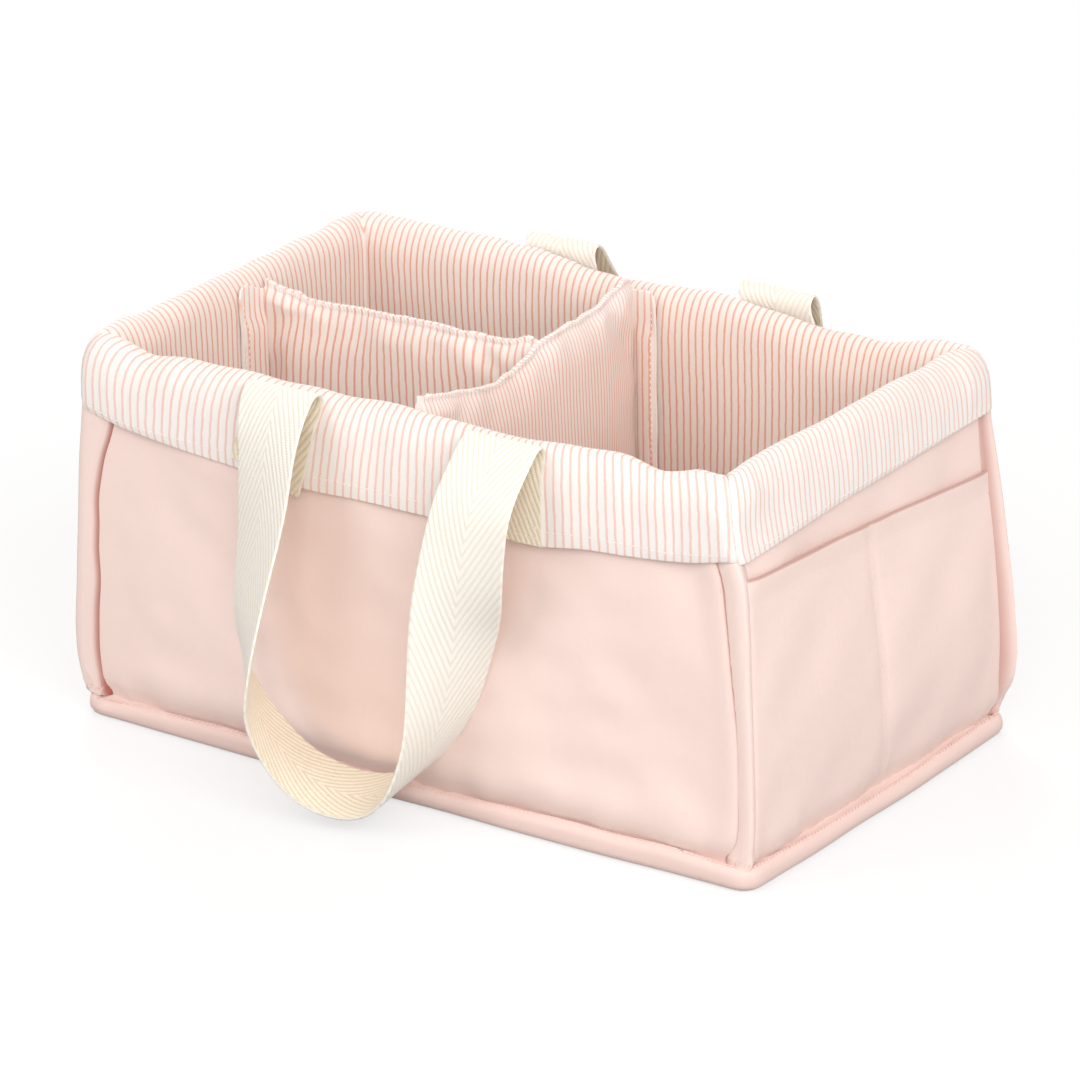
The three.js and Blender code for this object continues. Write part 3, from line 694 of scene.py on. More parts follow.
liningLook = {
    "innerReach": 27,        # how far below the crest the rim is rounded, inside
    "outerReach": 31,
    "roundness": 3.0,
    "thickness": 1.3,
    "foot": 11.7,
    "hemTuck": 1.0,
    "cornerPuff": 0.9,
    "mitrePhase": 0.65,      # of a stripe's pitch left over at each mitre
    "wallRipple": 0.7,
    "rimRipple": 0.55,
    "cuffRipple": 0.3,
    "padClear": 0.3,         # the wadding starts this far under the lining
    "padThick": {"wall": 6.0, "inner": 4.0, "outer": 2.6, "hem": 1.6},
}


cornerCreases = {
    # depth on the cuff, depth on the crest, width
    "front_left": (0.7, 1.6, 1.8), "front_right": (0.8, 2.4, 1.6), "back_right": (0.5, 0.6, 2.0),
    "back_left": (0.5, 0.5, 2.0),
}


def cornerOrder(name):
    return ("front", "back", "left", "right").index(name)


def liningRows():
    # each row: kind, and how far along that part it is
    rows = [("wall", t) for t in np.linspace(0, 1, 24)]
    rows += [("inner", t) for t in np.linspace(0, 1, 11)[1:]]
    rows += [("outer", t) for t in np.linspace(0, 1, 12)[1:]]
    rows += [("hem", t) for t in np.linspace(0, 1, 5)[1:]]
    return rows


def liningProfile(side, run, look):
    crest, hem = smoothCurve(side["crest"], run), smoothCurve(side["hem"], run)
    inner, outer, middle = caddy["innerDepth"], caddy["cuffDepth"], caddy["crestDepth"]
    depth, height = [], []
    for kind, t in liningRows():
        angle = t * math.pi / 2
        if kind == "wall":
            depth.append(inner + 0 * crest)
            height.append(look["foot"] + (crest - look["innerReach"] - look["foot"]) * t)
        elif kind == "inner":
            depth.append(middle + (inner - middle) * math.cos(angle) + 0 * crest)
            height.append(crest - look["innerReach"] * (1 - math.sin(angle) ** (2 / look["roundness"])))
        elif kind == "outer":
            low = np.maximum(crest - look["outerReach"], hem + 2)
            depth.append(middle + (outer - middle) * math.sin(angle) + 0 * crest)
            height.append(low + (crest - low) * max(math.cos(angle), 0) ** (2 / look["roundness"]))
        else:
            low = np.maximum(crest - look["outerReach"], hem + 2)
            depth.append(outer + look["hemTuck"] * t ** 3 + 0 * crest)
            height.append(low + (hem - low) * t)
    return np.stack(depth, axis=1), np.stack(height, axis=1), crest, hem


def liningSurface(name, look):
    side = wallSides[name]
    run, turn = wallColumns(side)
    depth, height, crest, hem = liningProfile(side, run, look)
    points, u = wallPlace(side, run[:, None], turn[:, None], depth, height)
    reach = np.abs(u).max(axis=0, keepdims=True)
    fromMitre = reach - np.abs(u)
    rim = smoothStep(crest[:, None] - 34, crest[:, None] - 6, height)
    outside = depth < caddy["crestDepth"]
    steps = np.linalg.norm(np.diff(points, axis=1), axis=2)
    v = np.concatenate([np.zeros((len(run), 1)), np.cumsum(steps, axis=1)], axis=1)
    normal = gridNormals(points)
    middle = len(run) // 2
    if normal[middle, 5] @ np.array([*side["out"], 0]) > 0:
        normal = -normal
    seed = sorted(wallSides).index(name) * 10
    push = look["wallRipple"] * ripple(u, v, 85, seed + 1) * smoothStep(10, 60, v) * ~outside
    push = push + rim * look["rimRipple"] * ripple(u, v, 34, seed + 2)
    push = push + outside * look["cuffRipple"] * ripple(u, v, 17, seed + 3, stretch=3)
    push = push * smoothStep(0, 14, fromMitre)
    push = push + rim * look["cornerPuff"] * bell(fromMitre - 15, 9)
    ends = [cornerCreases["_".join(sorted((name, side[end]), key=cornerOrder))] for end in ("left", "right")]
    onTop = 1 - np.abs(depth - caddy["crestDepth"]) / (caddy["innerDepth"] - caddy["crestDepth"])
    onTop = np.clip(onTop, 0, 1) * (height > 150)
    for (onCuff, onCrest, wide), near in zip(ends, (u < 0, u >= 0)):
        deep = np.where(outside, onCuff + (onCrest - onCuff) * onTop, 0.4 + (onCrest - 0.4) * onTop)
        push = push - near * deep * bell(fromMitre, wide)
    tucked = 1 - smoothStep(0, 5, v[:, -1:] - v)
    push = push * (1 - 0.7 * tucked)
    face = points + normal * push[..., None]
    # the stripes close up from the hem to the crest, so that they run along the mitre, and lean with the rim
    firstOut = int(np.argmax(outside[middle]))
    closer = np.where(outside, reach[:, -1:] / reach, reach[:, -1:] / reach[:, firstOut:firstOut + 1])
    rise = np.where(outside, np.clip((height - hem[:, None]) / (crest - hem)[:, None], 0, 1), 1)
    lean = smoothCurve(side.get("lean", [(-1, 0), (1, 0)]), run)[:, None]
    pitch = stripeLook["pitch"] / mm
    count = reach[0, -1] / side.get("wide", 1) / pitch
    wide = side.get("wide", 1) * count / (round(count - look["mitrePhase"]) + look["mitrePhase"])
    waver = 0.7 * ripple(u, v, 70, seed + 4, stretch=2) * smoothStep(0, 30, fromMitre)
    stripes = (u * closer - lean * rise) / wide + waver
    return face, normal, stripes, v, run


def makeLining(name, look):
    face, normal, stripes, v, run = liningSurface(name, look)
    back = face - normal * look["thickness"]
    thing = clothSheet(f"{name}_lining_cloth", face, back, stripes, v, stripedCotton)
    settle(thing, "root", "striped_cotton", f"{name}_lining")
    hemPlaces = face[:, -3] * 0.8 + face[:, -2] * 0.2
    stitches = stitchRow(f"{name}_cuff_stitches", hemPlaces[4:-4], normal[4:-4, -3], whiteThread, "root",
                         length=2.1, width=0.5, pitch=3.4, lift=-0.05)
    # the wadding under it: thick on the wall and over the rim, thin under the cuff
    thick = np.array([look["padThick"][kind] for kind, _ in liningRows()])
    inset = look["thickness"] + look["padClear"]
    columns, rows = slice(8, -8, 2), slice(1, -2)
    under = (face - normal * inset)[columns, rows]
    back = (face - normal * (inset + thick[None, :, None]))[columns, rows]
    pad = clothSheet(f"{name}_padding_pad", under, back, stripes[columns, rows], v[columns, rows],
                     whiteWadding)
    settle(pad, "root", "wadding", f"{name}_padding")


for sideName in wallSides:
    makeLining(sideName, liningLook)
print("lining, cuff and wall padding made")


# Outer panels: one pink cloth for each wall, full in the middle and drawn in at its seams

panelLook = {
    "thickness": 1.4,
    "seamDepth": 4.0,        # under the corner folds the panel lies this much deeper
    "seamEdge": (-1.8, 0.3),
    "low": 9.4,
    "footDepth": 2.4,
    "pucker": 0.55,
    "ripple": 0.7,
    "footHeight": 10.4,      # the seam at the base
    "lowFullness": 1.5,      # low on the long walls, just over that seam
    "under": 14,             # how far it runs up under the cuff
    "flatHeight": 0.16,
}


# corner folds: their seam's distance from the corner up the height, how far the ridge bows out, how far
# the edge stands off the panel, and the panel's own fullness beside it
foldPlaces = {
    "front_left": {
        "wall": "front", "end": -1, "seed": 311, "flat": 0.03, "edgeStand": 1.5, "puff": 0.3,
        "seam": [(11, 5), (30, 5.4), (75, 5), (100, 4.4), (116, 4.2), (135, 8.3), (155, 13.5), (162, 15)],
        "bow": [(11, 3), (24, 4), (66, 4), (88, 4.2), (109, 4), (130, 3.4), (160, 1)],
    },
    "front_right": {
        "wall": "front", "end": 1, "seed": 312, "flat": 0.024, "edgeStand": -0.7, "puff": 1.6,
        "seam": [(11, 8), (22, 6.5), (45, 6), (70, 6), (110, 8.5), (135, 10), (162, 11)],
        "bow": [(11, 0.8), (30, 0.3), (160, 0)],
    },
    "back_right": {
        "wall": "back", "end": -1, "seed": 313, "flat": 0.03, "edgeStand": 0.6, "puff": 0.8,
        "seam": [(11, 12), (40, 9), (120, 9), (162, 13)],
        "bow": [(11, 0.5), (17, 1), (28, 5), (39, 6.4), (60, 6.2), (80, 5.7), (100, 4.8), (120, 4.2),
                (139, 3), (160, 1)],
        # painted shade in the crease between the fold and the pocket, stronger here
        "crease": 0.6,
    },
    "back_left": {
        "wall": "back", "end": 1, "seed": 314, "flat": 0.026, "edgeStand": 0.6, "puff": 0.8,
        "seam": [(11, 12), (40, 9), (120, 9), (162, 13)],
        "bow": [(11, 0.8), (45, 2), (120, 1), (160, 0)],
    },
}


def panelPoints(name, look, rows=34):
    side = wallSides[name]
    run, turn = wallColumns(side, 4.5, fine=0.7, fineReach=18)
    top = smoothCurve(side["hem"], run) + look["under"]
    share = np.linspace(0, 1, rows) ** 1.15
    height = look["low"] + (top[:, None] - look["low"]) * share[None, :]
    seed = 50 + sorted(wallSides).index(name) * 10
    depth = look["footDepth"] * bell(height - look["footHeight"], 4.5)
    shade = 0 * height
    _, u = wallPlace(side, run[:, None], turn[:, None], 0, height)
    fromEnd = side["halfRun"] - np.abs(u)
    if side["bellied"]:
        for fold in foldPlaces.values():
            if fold["wall"] != name:
                continue
            near = np.sign(u) == fold["end"]
            beside = wallSides[side["left" if fold["end"] < 0 else "right"]]
            past = fromEnd + wallShift(beside, -fold["end"], 0, height) - smoothCurve(fold["seam"], height)
            deep = look["seamDepth"] * (0.35 + 0.65 * smoothStep(11, 19, height))
            depth = depth + near * deep * (1 - smoothStep(*look["seamEdge"], past))
            depth = depth - near * fold["puff"] * bell(past - 4, 7) * smoothStep(12, 24, height)
            # painted shade in the groove along each corner fold's seam
            shade = shade + near * bell(past + 0.3, 1.0) * smoothStep(11, 15, height)
        depth = depth - look["lowFullness"] * bell(height - 24, 10) * (1 - np.abs(run[:, None]) ** 6)
    depth = depth - look["pucker"] * ripple(u, height, 15, seed + 1, stretch=4) * bell(height - 12, 11)
    broad = ripple(u, height, 80, seed + 2) + 0.35 * ripple(u, height, 30, seed + 3)
    depth = depth - look["ripple"] * broad * smoothStep(10, 40, height) * smoothStep(6, 30, fromEnd)
    points, _ = wallPlace(side, run[:, None], turn[:, None], depth, height)
    return points, u, height, shade


def makePanel(name, look):
    side = wallSides[name]
    points, u, height, shade = panelPoints(name, look)
    normal = gridNormals(points)
    if normal[len(points) // 2, 9] @ np.array([*side["out"], 0]) < 0:
        normal = -normal
    back = points - normal * look["thickness"]
    thing = clothSheet(f"{name}_panel_cloth", points, back, u, height, pinkCotton, shade=shade)
    settle(thing, "root", "pink_cotton", f"{name}_outer_panel")


for sideName in wallSides:
    makePanel(sideName, panelLook)
print("outer panels made")


# Boards in the walls: they lean and bow with them

boardLook = {
    "share": 0.925,          # of the wall's length
    "heights": (14, 176),
    "depths": (3.4, 6.2),    # of its two faces, in from the outer panel
}


def makeBoardPlate(name, look):
    side = wallSides[name]
    run = np.linspace(-look["share"], look["share"], 40)[:, None]
    height = np.linspace(*look["heights"], 24)[None, :]
    (face, u), (back, _) = (wallPlace(side, run, 0, depth, height) for depth in look["depths"])
    thing = clothSheet(f"{name}_board_plate", face, back, u, height + 0 * u, greyBoard, roll=0.1, sharp=40)
    settle(thing, "root", "board", f"{name}_board")


for sideName in wallSides:
    makeBoardPlate(sideName, boardLook)
print("wall boards made")


# Corner folds: a flattened ribbon of the end panels' cloth turned round each corner

foldLook = {
    "stand": 2.9,            # off the panel, at the corner
    "thickness": 1.4,
    "deepest": -0.3,         # its inner side goes no deeper than this
    "edgeDive": 3.0,         # at its seam it dives into the groove
    "edgeRound": 1.8,
    "ridge": 0.7,
    "inward": 2.0,           # how far it reaches along the end wall
    "innerStand": -0.3,      # there, under the pocket's edge
    "edgeWave": 0.5,
}


def makeFold(place, look):
    spec = foldPlaces[place]
    side, end, seed = wallSides[spec["wall"]], spec["end"], spec["seed"]
    beside = wallSides[side["left" if end < 0 else "right"]]
    top = float(smoothCurve(side["hem"], np.array([end]))[0]) + 3
    height = np.linspace(10.8, top, 64)[None, :]
    full, radius, lowest = look["stand"], caddy["outerRadius"], look["innerStand"]
    edgeStand = spec["edgeStand"]
    bow = smoothCurve(spec["bow"], height)
    bunch = 0.5 * bell(height - 13, 5)
    straight = smoothCurve(spec["seam"], height) - (radius - full) + bow
    straight = straight + look["edgeWave"] * ripple(height, 0 * height, 30, seed)
    edge = np.array([0.05, 0.3, 0.7, 1.2, look["edgeRound"]])
    columns, shades, rest = [], [], np.linspace(0, 1, 4)[1:]
    total = straight + radius * math.pi / 4
    reach = side["halfRun"] + wallShift(beside, -end, 0, height) - radius + full
    for away in list(edge) + [look["edgeRound"] + share * (straight - look["edgeRound"]) for share in rest]:
        rounded = np.sqrt(1 - (1 - np.minimum(away / look["edgeRound"], 1)) ** 2)
        out = edgeStand - look["edgeDive"] * (1 - rounded)
        out = out + (full - edgeStand) * np.sin(away / total * math.pi / 2)
        columns.append((side, end * (1 + (bow - (straight - away)) / reach), 0, -out))
        # painted shade along the fold's free edge, in the groove beside the panel
        shades.append(bell(away, 1.1) + 0 * height)
    for share in np.linspace(0, 1, 6)[1:]:
        far = (straight + share * (total - straight)) / total
        out = edgeStand + (full - edgeStand) * np.sin(far * math.pi / 2) + look["ridge"] * share ** 2
        columns.append((side, end * (1 + bow / reach), end * share * math.pi / 4, -out))
        shades.append(0 * height)
    for share in np.linspace(1, 0, 7)[1:]:
        out = lowest + (full + look["ridge"] + bow - lowest) * smoothStep(0, 1, share)
        corner = beside["halfRun"] + wallShift(side, end, 0, height) - radius + lowest
        wide = (full + look["ridge"] - lowest) * smoothStep(0, 1, share)
        run = -end * (corner + wide) / (corner - lowest + out)
        columns.append((beside, run, -end * share * math.pi / 4, -out))
        # painted shade in the crease between the fold and the pocket's edge
        shades.append(spec.get("crease", 0.15) * bell(share - 0.3, 0.3) + 0 * height)
    for share in (0.5, 1):
        run = -end * (1 - share * look["inward"] / beside["halfRun"])
        columns.append((beside, run, 0, -lowest + 0 * height))
        shades.append(0 * height)
    face, under = [], []
    for i, (wall, run, turn, depth) in enumerate(columns):
        lump = bunch * ripple(np.array(3.0 * i), height, 8, seed + 9)
        face.append(wallPlace(wall, run, turn, depth - lump, height)[0][0])
        deeper = np.maximum(depth + look["thickness"], look["deepest"])
        under.append(wallPlace(wall, run, turn, deeper, height)[0][0])
    face, under = np.stack(face), np.stack(under)
    steps = np.linalg.norm(np.diff(face, axis=0, prepend=face[:1]), axis=2)
    u = np.cumsum(steps, axis=0)
    thing = clothSheet(f"corner_fold_{place}_cloth", face, under, u, height + 0 * u, pinkCotton, roll=0.5,
                       sharp=75, shade=np.concatenate(shades))
    settle(thing, "root", "pink_cotton", f"corner_fold_{place}")
    normal = gridNormals(face)
    outward = np.array([*side["out"], 0]) + np.array([*beside["out"], 0])
    if normal[len(face) // 2, 9] @ outward < 0:
        normal = -normal
    seam = stitchRow(f"corner_fold_{place}_stitches", face[1:-2, 1], normal[1:-2, 1], pinkThread, "root",
                     length=3.0, width=0.5, skew=1.2, pitch=1.9, lift=0.0)


for foldPlace in foldPlaces:
    makeFold(foldPlace, foldLook)
print("corner folds made")


# End pockets: sewn down at the sides, the foot and the middle, with a slanted mouth

pocketLook = {
    "thickness": 1.4,
    "clear": 0.3,
    "bulge": 2.4,
    "cut": 3,                # columns left out at each corner, where the folds show
    "low": 9.6,
    "highMouth": 150,
    "lowMouth": 135,
    "hemAt": 11,
    "mouthStand": 1.1,
    "ripple": 0.45,
    # painted shade along the mouth, in the gap under its edge
    "mouthShade": 0.6,
    "flatHeight": 0.14,
}


def makePocket(name, look):
    side = wallSides[name]
    seed = 401 if name == "right" else 402
    run, turn = wallColumns(side, 3.2)
    run, turn = run[look["cut"]:-look["cut"]], turn[look["cut"]:-look["cut"]]
    mouth = look["highMouth"] - (look["highMouth"] - look["lowMouth"]) * (run + 1) / 2
    share = np.concatenate([np.linspace(0, 0.88, 30), np.linspace(0.88, 0.985, 8)[1:], [0.993, 1]])
    height = look["low"] + (mouth[:, None] - look["low"]) * share[None, :]
    _, u = wallPlace(side, run[:, None], turn[:, None], 0, height)
    fromEnd = side["halfRun"] - np.abs(u)
    full = (1 - 0.45 * bell(u, 7)) * smoothStep(-2, 45, fromEnd) ** 0.7
    rise = smoothStep(0, 0.5, share)[None, :] * (1 - 0.92 * smoothStep(0.55, 1, share))[None, :]
    down = mouth[:, None] - height
    stand = look["bulge"] * full * rise + look["mouthStand"] * bell(down, 6) * smoothStep(3, 14, fromEnd)
    stand = stand - 0.2 * bell(down - look["hemAt"], 1.3)
    stand = stand - 0.7 * bell(u, 2.0) + 0.5 * bell(height - 20, 9)
    stand = stand + look["ripple"] * ripple(u, height, 46, seed) * smoothStep(2, 20, fromEnd)
    stand = stand + 0.3 * ripple(u, height, 13, seed + 1, stretch=3) * bell(height - 12, 12)
    depth = -(look["clear"] + look["thickness"] + stand)
    depth = depth + 2.2 * bell(height - 10.6, 4)
    face, _ = wallPlace(side, run[:, None], turn[:, None], depth, height)
    normal = gridNormals(face)
    if normal[len(run) // 2, 9] @ np.array([*side["out"], 0]) < 0:
        normal = -normal
    # painted shade: a dark line along the mouth, where it stands off the panel
    shade = look["mouthShade"] * (share[None, :] > 0.999) * smoothStep(0, 6, fromEnd)
    back = face - normal * look["thickness"]
    thing = clothSheet(f"{name}_pocket_cloth", face, back, u, height, pinkCotton, shade=shade)
    settle(thing, "root", "pink_cotton", f"{name}_pocket")
    middle = int(np.argmin(np.abs(run)))
    seam = stitchRow(f"{name}_pocket_middle_stitches", face[middle, ::-1][1:-1], normal[middle, ::-1][1:-1],
                     pinkThread, "root", length=2.2, width=0.36, pitch=3.0, lift=-0.08)
    hemRow = int(np.argmin(np.abs(down[middle] - look["hemAt"])))
    hem = stitchRow(f"{name}_pocket_hem_stitches", face[3:-3, hemRow], normal[3:-3, hemRow], pinkThread,
                    "root", length=2.2, width=0.3, pitch=3.0, lift=-0.15)


for sideName in ("right", "left"):
    makePocket(sideName, pocketLook)
print("pockets made")


# Base: a padded tray whose lip stands out round the walls, with the seam where they join it

baseLook = {
    "halfLength": 196,
    "halfWidth": 114,
    "cornerRadius": 11,
    "endBow": 1.5,
    "sideBow": 2.6,
    "height": 10.8,
    "edgeRound": 4.4,
    "seamIn": 3.8,           # the walls' seam, in from the edge
    "recess": (171.0, 93.0, 3.0),
    "puff": 0.7,
    # the lip's height over the mean, along the front and round the right end
    "frontLip": [(-195, -2.2), (-160, -0.3), (-100, 0.9), (-45, -0.8), (-10, -1.8), (25, -0.8), (65, 0.8),
                 (150, 1.3), (195, 0.6)],
    "endLip": [(-114, 0.6), (-60, -0.6), (40, -1.0), (114, -0.3)],
}


def baseOutline(look, count=300):
    # places and outward directions round the base's edge
    halfX, halfY, radius = look["halfLength"], look["halfWidth"], look["cornerRadius"]
    straightX, straightY = halfX - radius, halfY - radius
    lengths = [2 * straightX, radius * math.pi / 2, 2 * straightY, radius * math.pi / 2] * 2
    ends = np.cumsum(lengths)
    at = np.linspace(0, ends[-1], count, endpoint=False)
    places, outward = [], []
    corners = [(straightX, -straightY, -90), (straightX, straightY, 0), (-straightX, straightY, 90),
               (-straightX, -straightY, 180)]
    for s in at:
        part = int(np.searchsorted(ends, s, side="right"))
        t = (s - (ends[part] - lengths[part])) / lengths[part]
        cornerX, cornerY, startAngle = corners[part // 2]
        if part % 2:
            angle = math.radians(startAngle + 90 * t)
            direction = np.array([math.cos(angle), math.sin(angle)])
            places.append(np.array([cornerX, cornerY]) + direction * radius)
        else:
            angle = math.radians(startAngle)
            direction = np.array([math.cos(angle), math.sin(angle)])
            fromX, fromY, _ = corners[part // 2 - 1]
            start = np.array([fromX, fromY]) + direction * radius
            end = np.array([cornerX, cornerY]) + direction * radius
            bow = look["sideBow"] if abs(direction[1]) > 0.5 else look["endBow"]
            places.append(start + (end - start) * t + direction * bow * math.sin(math.pi * t))
        outward.append(direction)
    return np.array(places), np.array(outward), at


def makeBase(look):
    places, outward, at = baseOutline(look)
    frontward = smoothStep(-0.7, -0.95, outward[:, 1])
    rightward = smoothStep(0.3, 0.7, outward[:, 0])
    high = look["height"] + smoothCurve(look["frontLip"], places[:, 0]) * frontward
    high = high + smoothCurve(look["endLip"], places[:, 1]) * rightward * (1 - frontward)
    high = high + 0.4 * ripple(places[:, 0], places[:, 1], 60, 501)
    edge = look["edgeRound"]
    quarter = np.linspace(0, math.pi / 2, 5)
    wrinkle = 0.25 * ripple(at, 0 * at, 13, 503)
    rings = [(14, 0)] + [(edge * (1 - math.sin(a)), edge * (1 - math.cos(a))) for a in quarter]
    rings += [(edge * (1 - math.cos(a)), high - edge + edge * math.sin(a)) for a in quarter]
    rings += [(look["seamIn"] - 0.6, high - 0.3 + wrinkle), (look["seamIn"] + 0.5, high - 1.4 + wrinkle),
              (look["seamIn"] + 3, 9.8)]
    rows = [np.stack([*(places - outward * inset).T, height + 0 * at], axis=1) for inset, height in rings]
    innerX, innerY, innerRadius = look["recess"]
    limit = np.array([innerX, innerY]) - innerRadius
    rim = np.clip(places, -limit, limit) + outward * innerRadius
    rows += [np.stack([*rim.T, height + 0 * at], axis=1) for height in (9.8, 2.0)]
    points = np.stack(rows, axis=1)
    lump = look["puff"] * ripple(at, 0 * at, 60, 502)
    points[:, 2:11, :2] += (outward * lump[:, None] * 0.6)[:, None, :]
    columns, count = points.shape[:2]
    index = np.arange(columns * count).reshape(columns, count)
    faces = gridFaces(index, closed=True).tolist()
    faces.append(index[:, 0].tolist()[::-1])
    faces.append(index[:, -1].tolist())
    around = np.repeat(at[:, None], count, axis=1)
    down = np.cumsum(np.linalg.norm(np.diff(points, axis=1, prepend=points[:, :1]), axis=2), axis=1)
    flat = np.stack([around.ravel(), down.ravel()], axis=1)
    thing = addObject("base_cushion", points.reshape(-1, 3), faces, shadedBasePink, flat)
    settle(thing, "root", "pink_cotton", "base_cover")
    seam = points[:, 11] + np.array([0, 0, 0.2])
    normals = np.concatenate([outward * 0.6, 0 * at[:, None] + 0.8], axis=1)
    loop = np.concatenate([seam, seam[:1]])
    stitchRow("base_seam_stitches", loop, np.concatenate([normals, normals[:1]]), pinkThread, "root",
              length=2.4, width=0.5, skew=0.9, pitch=2.6, lift=0.1)


makeBase(baseLook)

floorLook = {
    "halfLength": 170.6,
    "halfWidth": 92.6,
    "top": 11.4,
    "thickness": 1.2,
    "padClear": 1.5,         # from the lining's face to the wadding under it
    "padFoot": 5.8,
    "flat": (0.3412, 0.1852),    # the same length and width, in metres
}


def makeFloor(look):
    halfX, halfY = look["halfLength"], look["halfWidth"]
    x, y = np.meshgrid(np.linspace(-halfX, halfX, 80), np.linspace(-halfY, halfY, 46), indexing="ij")
    fromEdge = np.minimum(halfX - np.abs(x), halfY - np.abs(y))
    sink = 0.5 + 0.35 * ripple(x, y, 55, 601) + 1.0 * bell(fromEdge, 4)
    top = look["top"] - np.maximum(sink, 0)
    face, back = (np.stack([x, y, top - down], axis=2) for down in (0, look["thickness"]))
    thing = clothSheet("floor_lining_cloth", face, back, x, y, stripedCotton)
    settle(thing, "root", "striped_cotton", "floor_lining")
    lower = face[1:-1, 1:-1] - np.array([0, 0, look["padClear"]])
    base = lower.copy()
    base[..., 2] = look["padFoot"]
    pad = clothSheet("floor_padding_pad", lower, base, x[1:-1, 1:-1], y[1:-1, 1:-1], whiteWadding)
    settle(pad, "root", "wadding", "floor_padding")


makeFloor(floorLook)
print("base and floor made")


# Dividers: sewn pillows round a board, filled by cloth simulation

dividerLook = {
    "foot": 11.9,
    "half": 3.6,             # half thickness before it is filled
    "fill": 2.2,             # how far a point may move as it fills
    "pressure": 2.6,
    "ridge": 3.2,
    "ridgeHalf": 1.2,
    "ridgeWave": 0.45,
    "gather": 0.3,           # small folds that fan out under the ridge
    "crown": 12,             # it is full this far in from its seams
    "boardInset": 15.7,
    "boardHeights": (20, 157),
    "boardHalf": 1.4,
}
dividers = {
    "cross_divider": {
        "length": 185.0, "turn": math.pi / 2, "place": (0, 0), "seed": 701, "stripes": 1.5,
        "top": [(-92.5, 196.5), (-84, 195), (-72, 192), (-52, 188), (-28, 184.5), (-13, 187), (-3, 190.5),
                (8, 194), (23, 195.2), (55, 195.4), (70, 197.3), (81, 200), (86, 199.5), (92.5, 198)],
        "aside": [(-92.5, 0), (0, 0), (35, 1.2), (60, 4), (80, 7.5), (92.5, 9.5)],
    },
    "lengthwise_divider": {
        "length": 163.6, "turn": 0, "place": (-88.55, 12), "seed": 702, "stripes": 0.88,
        "aside": [(-82, 0), (82, 0)],
        "top": [(-82, 191.5), (-74, 190), (-61, 187), (-45, 185.8), (-20, 187.5), (15, 188.5), (50, 188),
                (66, 189), (78, 192), (82, 190.5)],
    },
}


def crowdedEnds(count, crowding=0.92):
    # from -1 to 1, closer together near both ends
    turn = np.linspace(-0.5, 0.5, count) * math.pi * crowding
    return np.sin(turn) / math.sin(crowding / 2 * math.pi)


def pillowGrid(spec, look, columns=40, rows=38):
    long, foot = spec["length"], look["foot"]
    run = crowdedEnds(columns) / 2 * long
    top = smoothCurve(spec["top"], run) - look["ridge"]
    share = (crowdedEnds(rows) + 1) / 2
    height = foot + (top[:, None] - foot) * share[None, :]
    run = np.repeat(run[:, None], rows, axis=1)
    fromEdge = np.minimum(np.minimum(2.6 * (long / 2 - np.abs(run)) + 4.5, height - foot + 3),
                          1.5 * (top[:, None] - height) + 1.5)
    full = 1 - (1 - np.clip(fromEdge / look["crown"], 0, 1)) ** 2.4
    return run, height, look["half"] * (0.1 + 0.9 * full)


def fillPillow(thing, pinned, look, cap):
    # blows the cover up with a little pressure; pinned points stay on their seams
    mesh = thing.data
    group = thing.vertex_groups.new(name="seams")
    group.add([int(i) for i in pinned], 1.0, "REPLACE")
    before = np.zeros(len(mesh.vertices) * 3)
    mesh.vertices.foreach_get("co", before)
    cloth = thing.modifiers.new("fill", "CLOTH")
    settings = cloth.settings
    settings.vertex_group_mass = "seams"
    settings.quality = 6
    settings.mass = 0.15
    settings.tension_stiffness = settings.compression_stiffness = 14
    settings.shear_stiffness = 6
    settings.bending_stiffness = 0.6
    settings.use_pressure = True
    settings.uniform_pressure_force = look["pressure"]
    settings.shrink_min = -0.012
    settings.effector_weights.gravity = 0
    scene.frame_start, scene.frame_end = 1, 20
    for step in range(1, 21):
        scene.frame_set(step)
    evaluated = thing.evaluated_get(bpy.context.evaluated_depsgraph_get())
    after = np.zeros(len(mesh.vertices) * 3)
    evaluated.data.vertices.foreach_get("co", after)
    thing.modifiers.remove(cloth)
    scene.frame_set(1)
    before, after = before.reshape(-1, 3), after.reshape(-1, 3)
    move = after - before
    far = np.linalg.norm(move, axis=1, keepdims=True)
    move *= np.minimum(1, cap * mm / np.maximum(far, 1e-9))
    print("  filled", thing.name, "by up to", round(float(far.max()) * 1000, 1), "mm")
    mesh.vertices.foreach_set("co", (before + move).ravel())
    mesh.update()


def subdivide(thing):
    modifier = thing.modifiers.new("smooth", "SUBSURF")
    modifier.levels = modifier.render_levels = 1
    evaluated = thing.evaluated_get(bpy.context.evaluated_depsgraph_get())
    mesh = bpy.data.meshes.new_from_object(evaluated)
    thing.modifiers.clear()
    thing.data = mesh
    mesh.shade_smooth()


